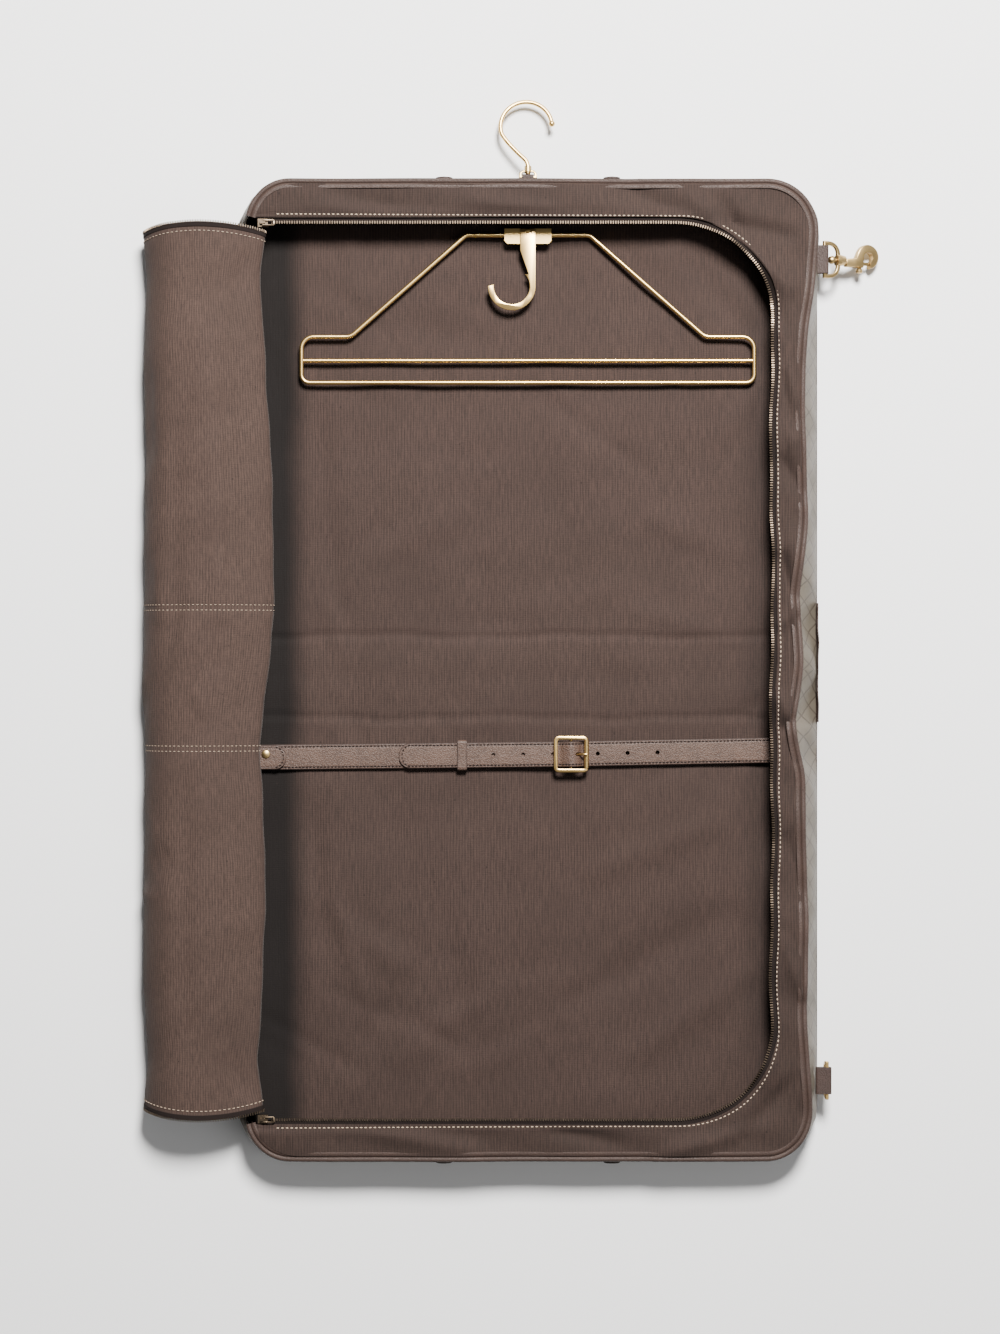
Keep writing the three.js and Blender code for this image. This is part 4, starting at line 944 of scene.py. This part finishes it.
for word, sign in halves:
    path = evenly(coverPath(bag["halfX"] + 0.2), 3.0)
    y = np.linspace(0, 1, 16)[None] * (cover["reach"] + (9 if sign > 0 else -6)) * sign
    y = np.broadcast_to(y, (len(path), 16))
    loose = np.clip((path[:, 1] - 8) / 11, 0, 1) * (path[:, 0] > 0)     # the free top edge waves a little
    x = path[:, :1] + loose[:, None] * (ripple(y, 51, [(70, 0.5), (31, 0.3)]) - 0.3)
    grid = np.stack([x, y, np.broadcast_to(path[:, 1:], y.shape)], axis=2)
    made = gridPiece("spine_cover_" + word, clothShell(grid, -sign * cover["thickness"]), [trimFinish],
                     loopV=True)
    bentAtFold(made)
    made = stitchesAlong("spine_cover_stitches_" + word, grid[4:-2, 14], 4.4, darkThread,
                         up=np.array([0.0, 1.0, 0.0]), size=(2.9, 0.75, 0.75))
    bentAtFold(made)
print("spine cover made")

# Holding strap
strap = {"y": -84.5, "width": 25.5, "thickness": 2.4, "base": 12.9, "tip": -129.0, "buckleX": 43.3,
         "barZ": 17.1,
         "leftBar": 27.85, "rightBar": 58.75, "end": 279.6, "hole": 2.1, "pitch": 30.0,
         "stitchPitch": 3.6}
strapOver = strap["base"] + strap["thickness"] * 1.5 + 0.4
strapLow = strap["base"] + strap["thickness"] / 2


def strapSlope(x):     # the strap lies a little askew across the bag
    return strap["y"] + np.where(x > strap["buckleX"], 0.019, 0.011) * (x - strap["buckleX"])


def strapLine(points, step=2.0):     # (x, z) places of the strap's middle, made into a smooth line
    line = evenly(curveThrough(points, perSpan=14), step)
    return np.column_stack([line[:, 0], strapSlope(line[:, 0]), line[:, 1]])


def bored(piece, cutter):     # the cutter's shape is taken out of the piece
    cut = piece.modifiers.new("cut", "BOOLEAN")
    cut.object = cutter
    cut.operation = "DIFFERENCE"
    cut.solver = "EXACT"
    view = bpy.context.evaluated_depsgraph_get()
    result = bpy.data.meshes.new_from_object(piece.evaluated_get(view))
    piece.modifiers.clear()
    piece.data = result
    bpy.data.objects.remove(cutter)
    result.shade_smooth()
    result.set_sharp_from_angle(angle=math.radians(48))
    return piece


def rowOfPosts(places, radius, low, high, stretch=1.0):     # round posts standing at (x, y), for boring holes
    a = np.linspace(0, 2 * math.pi, 20, endpoint=False)
    ring = np.column_stack([radius * stretch * np.cos(a), radius * np.sin(a)])
    points = np.concatenate([np.column_stack([ring + place, np.full(20, z)])
                             for place in places for z in (low, high)])
    faces = []
    for n in range(len(places)):
        s = n * 40
        faces += [(s + k, s + (k + 1) % 20, s + 20 + (k + 1) % 20, s + 20 + k) for k in range(20)]
        faces += [tuple(range(s + 19, s - 1, -1)), tuple(range(s + 20, s + 40))]
    return meshPiece("posts", points, faces, [strapFinish])


def strapStitches(name, line, profileHeight, offsets, finish):
    # rows of stitches in the grooves, a stitch inset from each edge
    _, side, lift = framesAlong(line)
    for k, offset in enumerate(offsets):
        row = line + side * offset + lift * profileHeight
        made = stitchesAlong(name + "_" + "ab"[k], row, strap["stitchPitch"], finish, size=(3.0, 1.5, 0.9))
        placed(made, "lower_half")


def endStitches(name, end, radius, z):
    # the row that rounds a strap's end: end + r + (r - 2.5) (cos a, sin a)
    a = np.linspace(-1.35, 1.35, 40)
    side = -1 if end == strap["tip"] else 1
    x = end - side * radius + side * (radius - 2.5) * np.cos(a)
    y = strapSlope(x) + (radius - 0.9) * np.sin(a)
    row = np.column_stack([x, y, np.full(len(a), z)])
    made = stitchesAlong(name, row, strap["stitchPitch"], darkThread, size=(3.0, 1.5, 0.9))
    placed(made, "lower_half")


width, thickness = strap["width"], strap["thickness"]
bx = strap["buckleX"]
barZ = strap["barZ"]
lowLine = strapLine([(-strap["end"], strapLow), (-200, strapLow), (-100, strapLow), (0, strapLow),
                     (30, strapLow),
                     (bx - 3, strapLow - 0.1), (bx + 1.6, barZ - 2.6), (bx + 3.2, barZ),
                     (bx + 1.4, barZ + 2.7),
                     (bx - 2.0, barZ + 2.2), (bx - 5.0, barZ - 0.1)], 1.6)
profile = strapProfile(width, thickness)
made = swept("strap_buckle_leather", lowLine, profile, [strapFinish, edgeFinish], secondColumns=paintedEdges)
placed(made, "lower_half", ["strap_buckle_side"])
strapStitches("strap_buckle_stitches", lowLine[lowLine[:, 0] < 20], thickness / 2 - 0.05,
              (width / 2 - 2.5, 2.5 - width / 2), darkThread)

over = barZ + 4.2 + 0.4 + thickness / 2
tipLine = strapLine([(strap["end"], strapLow), (180, strapLow), (120, strapLow),
                     (strap["rightBar"] + 20, strapLow),
                     (strap["rightBar"] + 4, strapLow + 0.3), (bx + 10.4, strapLow + 2.6),
                     (bx + 6.3, over - 2.2),
                     (bx, over + 0.2), (bx - 6, over - 2.4), (bx - 10.4, strapOver + 0.8),
                     (strap["leftBar"] - 1, strapOver), (strap["leftBar"] - 16, strapOver), (-20, strapOver),
                     (-80, strapOver), (strap["tip"], strapOver)], 1.6)
far = tipLine[:, 0] - strap["tip"]
nose = 1.75 + np.sqrt(np.clip(121 - (11 - np.clip(far, 0.4, 11)) ** 2, 0, None))
half = np.where(far < 11, nose, width / 2)
tipProfile = profile[None] * np.stack([half / (width / 2), np.ones(len(half))], axis=1)[:, None]
made = swept("strap_tip_leather", tipLine, tipProfile, [strapFinish, edgeFinish], secondColumns=paintedEdges)
holes = [(bx + n * strap["pitch"], float(strapSlope(bx + n * strap["pitch"])))
         for n in (-2.6, -1.6, -0.6, 0.9, 1.9, 2.9)]
bored(made, rowOfPosts(holes, strap["hole"], 5, 30))
bored(made, rowOfPosts([(bx + 7.6, strap["y"])], 1.9, strap["base"] - 4, 24, 1.8))
placed(made, "lower_half", ["strap_tip_side"])
upper = tipLine[(tipLine[:, 0] > strap["tip"] + 9)]
strapStitches("strap_tip_stitches", upper[6:], thickness / 2 - 0.05,
              (width / 2 - 2.5, 2.5 - width / 2), darkThread)

tabLine = strapLine([(-strap["end"], strapOver), (-262, strapOver), (-243, strapOver)], 1.5)
far = -243 - tabLine[:, 0]
half = np.where(far < 11, 1.2 + np.sqrt(np.clip(121 - (11 - np.clip(far, 0.3, 11)) ** 2, 0, None)), 12.2)
widening = np.stack([half / 12.2, np.ones(len(half))], axis=1)
tabProfile = strapProfile(24.4, thickness)[None] * widening[:, None]
made = swept("strap_tab_leather", tabLine, tabProfile, [strapFinish, edgeFinish], secondColumns=paintedEdges)
placed(made, "lower_half", ["strap_tab"])
endStitches("strap_tip_end_stitches", strap["tip"], 11.5, strapOver + thickness / 2)
endStitches("strap_tab_end_stitches", -243.0, 11.0, strapOver + thickness / 2)
ringY, ringZ = strap["width"] / 2 + 2.0, (12.4 + strapOver + thickness / 2 + 0.9) / 2
halfZ = strapOver + thickness / 2 + 1.1 - ringZ
corners = [(-66, strap["y"] - 1.2 + a * ringY, ringZ + b * halfZ)
           for a, b in ((1, -1), (1, 1), (-1, 1), (-1, -1))]
loop = evenly(roundedLine(corners, [2.2] * 4, closed=True), 1.0, closed=True)
made = swept("strap_keeper_loop", loop, strapProfile(10, 1.3, 0.12, 1.5, 0.1)[:, ::-1],
             [strapFinish, edgeFinish],
             up=np.array([1.0, 0.0, 0.0]), closed=True, secondColumns=paintedEdges)
placed(made, "strap_keeper", ["strap_keeper"])
print("strap made")

# Carry handles folded flat under the ends, with leather feet that show at the edge
handle = {"axisY": 476.0, "z": 3.3, "half": 84.0, "reach": 71.0, "bend": 29.0, "width": 14.0,
          "thickness": 5.2}
for word, sign in halves:
    y = handle["axisY"]
    h = handle["half"]
    corners = [(-h, y + 2.4, handle["z"]), (-h, y - handle["reach"], handle["z"]),
               (h, y - handle["reach"], handle["z"]), (h, y + 2.4, handle["z"])]
    line = evenly(roundedLine(corners, [0, handle["bend"], handle["bend"], 0]), 2.0) * [1, sign, 1]
    gap = np.minimum(runLength(line), runLength(line)[-1] - runLength(line))
    size = np.clip(0.55 + gap / 5, 0, 1)
    profile = strapProfile(handle["width"], handle["thickness"], 0.3, 2.2, 1.0)
    made = swept("handle_leather_" + word, line, profile[None] * size[:, None, None], [trimFinish])
    placed(made, "handle_" + word, ["handle_" + word])
    ahead, side, lift = framesAlong(line[4:-4])
    for k, offset in enumerate((handle["width"] / 2 - 2.2, 2.2 - handle["width"] / 2)):
        for level, face in ((1, "top"), (-1, "under")):
            row = line[4:-4] + side * offset + lift * (level * handle["thickness"] / 2)
            made = stitchesAlong("handle_stitches_" + word + "_" + face + str(k), row, 4.0, paleThread)
            placed(made, "handle_" + word)
    for side_, x in (("left", -h), ("right", h)):
        foot = evenly(roundedLine([(x, 478, 8.0), (x, 490.6, 8.4), (x, 493.0, 12.0), (x, 492.6, 30.0)],
                                  [0, 1.6, 4, 0]), 1.2) * [1, sign, 1]
        gap = runLength(foot)[-1] - runLength(foot)
        size = np.where(gap < 7, 0.25 + 0.75 * np.sqrt(np.clip(1 - (1 - gap / 7) ** 2, 0, 1)), 1)
        flat = strapProfile(17, 1.8, 0.15, 1.8, 0.3)[:, ::-1]
        flat = flat[None] * np.stack([np.ones(len(size)), size], axis=1)[:, None]
        made = swept("handle_foot_" + word + "_" + side_, foot, flat, [trimFinish],
                     up=np.array([1.0, 0.0, 0.0]))
        placed(made, word + "_half")
print("handles made")


def refined(node, finish, bevel=0.25, segments=2, sharp=34):
    # a merged copy of a CAD part with smooth round faces and softened edges
    source = frame["nodes"][node]
    mesh = source.data.copy()
    work = bmesh.new()
    work.from_mesh(mesh)
    bmesh.ops.remove_doubles(work, verts=work.verts[:], dist=0.00002)
    bmesh.ops.dissolve_limit(work, angle_limit=math.radians(1.0), verts=work.verts[:], edges=work.edges[:])
    work.to_mesh(mesh)
    work.free()
    mesh.materials.clear()
    mesh.materials.append(finish)
    mesh.shade_smooth()
    mesh.set_sharp_from_angle(angle=math.radians(sharp))
    piece = bpy.data.objects.new(node + "_metal", mesh)
    bpy.context.scene.collection.objects.link(piece)
    if bevel:
        soft = piece.modifiers.new("soft edges", "BEVEL")
        soft.width = bevel * mm
        soft.segments = segments
        soft.limit_method = "ANGLE"
        soft.angle_limit = math.radians(sharp)
    return placed(piece, bodyOf[node], [node])


# Hanger: one bent brass wire, a crossbar and the bracket with its flat hook
hanger = {"width": 459.0, "top": 436.5, "topHalf": 62.0, "shoulder": 178.0, "drop": 102.0, "cross": 126.0,
          "height": 148.0, "wire": 4.5, "z": 18.2}
x = hanger["width"] / 2 - hanger["wire"] / 2
top, low = hanger["top"], hanger["top"] - hanger["height"]
halfLoop = [(0.4, top), (hanger["topHalf"], top), (hanger["shoulder"], top - hanger["drop"]),
            (x, top - hanger["drop"]), (x, low)]
corners = [(a, b, hanger["z"]) for a, b in halfLoop] + [(-a, b, hanger["z"]) for a, b in halfLoop[::-1]]
loop = evenly(roundedLine(corners, [0, 8, 12, 12, 8, 8, 12, 12, 8, 0]), 2.0)
made = swept("hanger_wire_bent", loop, ringProfile(hanger["wire"] / 2, 20), [brassFinish])
placed(made, "hanger", ["hanger_wire"])
y = top - hanger["cross"]
line = np.array([(-x + 1.6, y, hanger["z"]), (0, y, hanger["z"]), (x - 1.6, y, hanger["z"])])
made = swept("hanger_crossbar_rod", evenly(line, 8), ringProfile(hanger["wire"] / 2, 20), [brassFinish])
placed(made, "hanger", ["hanger_crossbar"])
refined("hanger_bracket", brassFinish, 0.35, 3)
refined("hanger_flat_hook", brassFinish, 0.3, 2)
refined("hanger_rivet", brassFinish, 0.15)
print("hanger made")

# Hanging hook: a round wire in an S, ending in a ball; its plane droops from the hinge
hook = {"axisY": 493.947, "axisZ": 24.0, "droop": 10.0, "wire": 4.4, "base": 11.4, "radius": 25.9,
        "reach": 53.0}


def drooped(points):
    a = math.radians(-hook["droop"])
    x, y, z = np.asarray(points, float).T
    return np.column_stack([x, hook["axisY"] + y * math.cos(a) - z * math.sin(a),
                            hook["axisZ"] + y * math.sin(a) + z * math.cos(a)])


a = np.linspace(math.pi + 0.2, 0.12, 60)
bow = np.column_stack([-1.6 + hook["radius"] * np.cos(a), hook["reach"] + hook["radius"] * np.sin(a), 0 * a])
base = hook["base"]
neck = curveThrough([(0, base - 2, 0), (0, base, 0), (-2.2, base + 6, 0), (-9.3, 24.5, 0), (-19.4, 35.4, 0),
                     (-25.6, 44, 0), bow[0]], perSpan=10)
line = evenly(np.concatenate([neck[:-1], bow]), 1.2)
tilt = math.radians(-hook["droop"])
planeUp = np.array([0.0, -math.sin(tilt), math.cos(tilt)])
made = swept("top_hook_wire", drooped(line), ringProfile(hook["wire"] / 2, 20), [brassFinish], up=planeUp)
placed(made, "top_hook", ["top_hook"])


def turned(name, outline, centre, axis, finish, count=28):
    # a profile (along, radius) turned round an axis through the centre
    axis = np.asarray(axis, float) / np.linalg.norm(axis)
    one = np.cross(axis, [0.3, 0.1, 1.0])
    one = one / np.linalg.norm(one)
    two = np.cross(axis, one)
    angle = np.linspace(0, 2 * math.pi, count, endpoint=False)[None, :, None]
    along, radius = np.asarray(outline, float).T
    surface = np.asarray(centre) + along[:, None, None] * axis + radius[:, None, None] * (
        np.cos(angle) * one + np.sin(angle) * two)
    return gridPiece(name, surface, [finish], loopV=True)


t = np.linspace(0.06, math.pi - 0.06, 20)
ball = np.column_stack([3.2 * -np.cos(t), 3.2 * np.sin(t)])
placed(turned("top_hook_ball", ball, drooped(bow[-1:])[0], [0, 1, 0], brassFinish), "top_hook")
made = turned("top_hook_head", [(3.2, 0.6), (3.2, 2.3), (3.4, 2.5), (4.1, 2.5), (4.3, 2.3), (4.3, 1.9),
                                (base, 1.9)],
              drooped([(0, 0, 0)])[0], drooped([(0, 1, 0)])[0] - drooped([(0, 0, 0)])[0], brassFinish)
placed(made, "top_hook")
refined("hook_eye", agedFinish, 0.3, 2)
refined("hook_tab", trimSolid, 0.4, 2)
print("top hook made")

# Snap hook, side ring, sliders and buckle: smooth copies of the turned and cast parts
for node, bevel in (("zip_slider_top", 0.25), ("zip_slider_bottom", 0.25), ("zip_pull_top", 0.2),
                    ("zip_pull_bottom", 0.2)):
    refined(node, sliderFinish, bevel)
for node, bevel in (("snap_eye", 0.35), ("snap_hook", 0.5), ("snap_bolt", 0.25), ("strap_rivet", 0.3),
                    ("handle_mount_upper_left", 0.3), ("handle_mount_upper_right", 0.3),
                    ("handle_mount_lower_left", 0.3), ("handle_mount_lower_right", 0.3)):
    refined(node, agedFinish, bevel)
refined("side_ring", brassFinish, 0.3)
refined("snap_spring", steelFinish, 0)
for node in ("snap_tab", "ring_tab"):
    refined(node, trimSolid, 0.5, 3)
refined("buckle_frame", brassFinish, 0.5, 3)
refined("buckle_roller", brassFinish, 0.3)
refined("buckle_tongue", brassFinish, 0.2)
print("fittings made")

# Floor, light and camera
view = {"height": 3.0, "centre": (-0.028, 0.003), "frameLength": 1.334, "faceHeight": 0.03}
floorMesh = bpy.data.meshes.new("floor")
floorMesh.from_pydata([(-6, -6, -0.0006), (6, -6, -0.0006), (6, 6, -0.0006), (-6, 6, -0.0006)], [],
                      [(0, 1, 2, 3)])
floor = bpy.data.objects.new("floor", floorMesh)
bpy.context.scene.collection.objects.link(floor)
paper = Finish("floor paper")
floorMesh.materials.append(paper.finished(colour(250, 250, 250), 0.9))
floor.visible_diffuse = False     # the paper sends no light back onto the sides of the bag


def lamp(name, place, target, size, power, tint=(1, 1, 1)):
    data = bpy.data.lights.new(name, "AREA")
    data.shape = "DISK"
    data.size = size
    data.energy = power
    data.color = tint
    made = bpy.data.objects.new(name, data)
    made.location = place
    made.rotation_euler = (Vector(target) - Vector(place)).to_track_quat("-Z", "Y").to_euler()
    bpy.context.scene.collection.objects.link(made)


lamp("key light", (0.4, 1.75, 2.5), (0, 0, 0), 0.9, 350, (1, 0.985, 0.965))
lamp("fill light", (1.7, -1.0, 2.4), (0, 0, 0), 2.0, 14)
world = bpy.data.worlds.new("studio")
bpy.context.scene.world = world
world.use_nodes = True
world.node_tree.nodes["Background"].inputs["Color"].default_value = (1, 1, 1, 1)
world.node_tree.nodes["Background"].inputs["Strength"].default_value = 0.16

cameraData = bpy.data.cameras.new("camera")
cameraData.sensor_fit = "VERTICAL"
cameraData.sensor_height = 36
cameraData.lens = 36 * (view["height"] - view["faceHeight"]) / view["frameLength"]
camera = bpy.data.objects.new("camera", cameraData)
camera.location = (*view["centre"], view["height"])
bpy.context.scene.collection.objects.link(camera)
bpy.context.scene.camera = camera

bpy.context.view_layer.update()
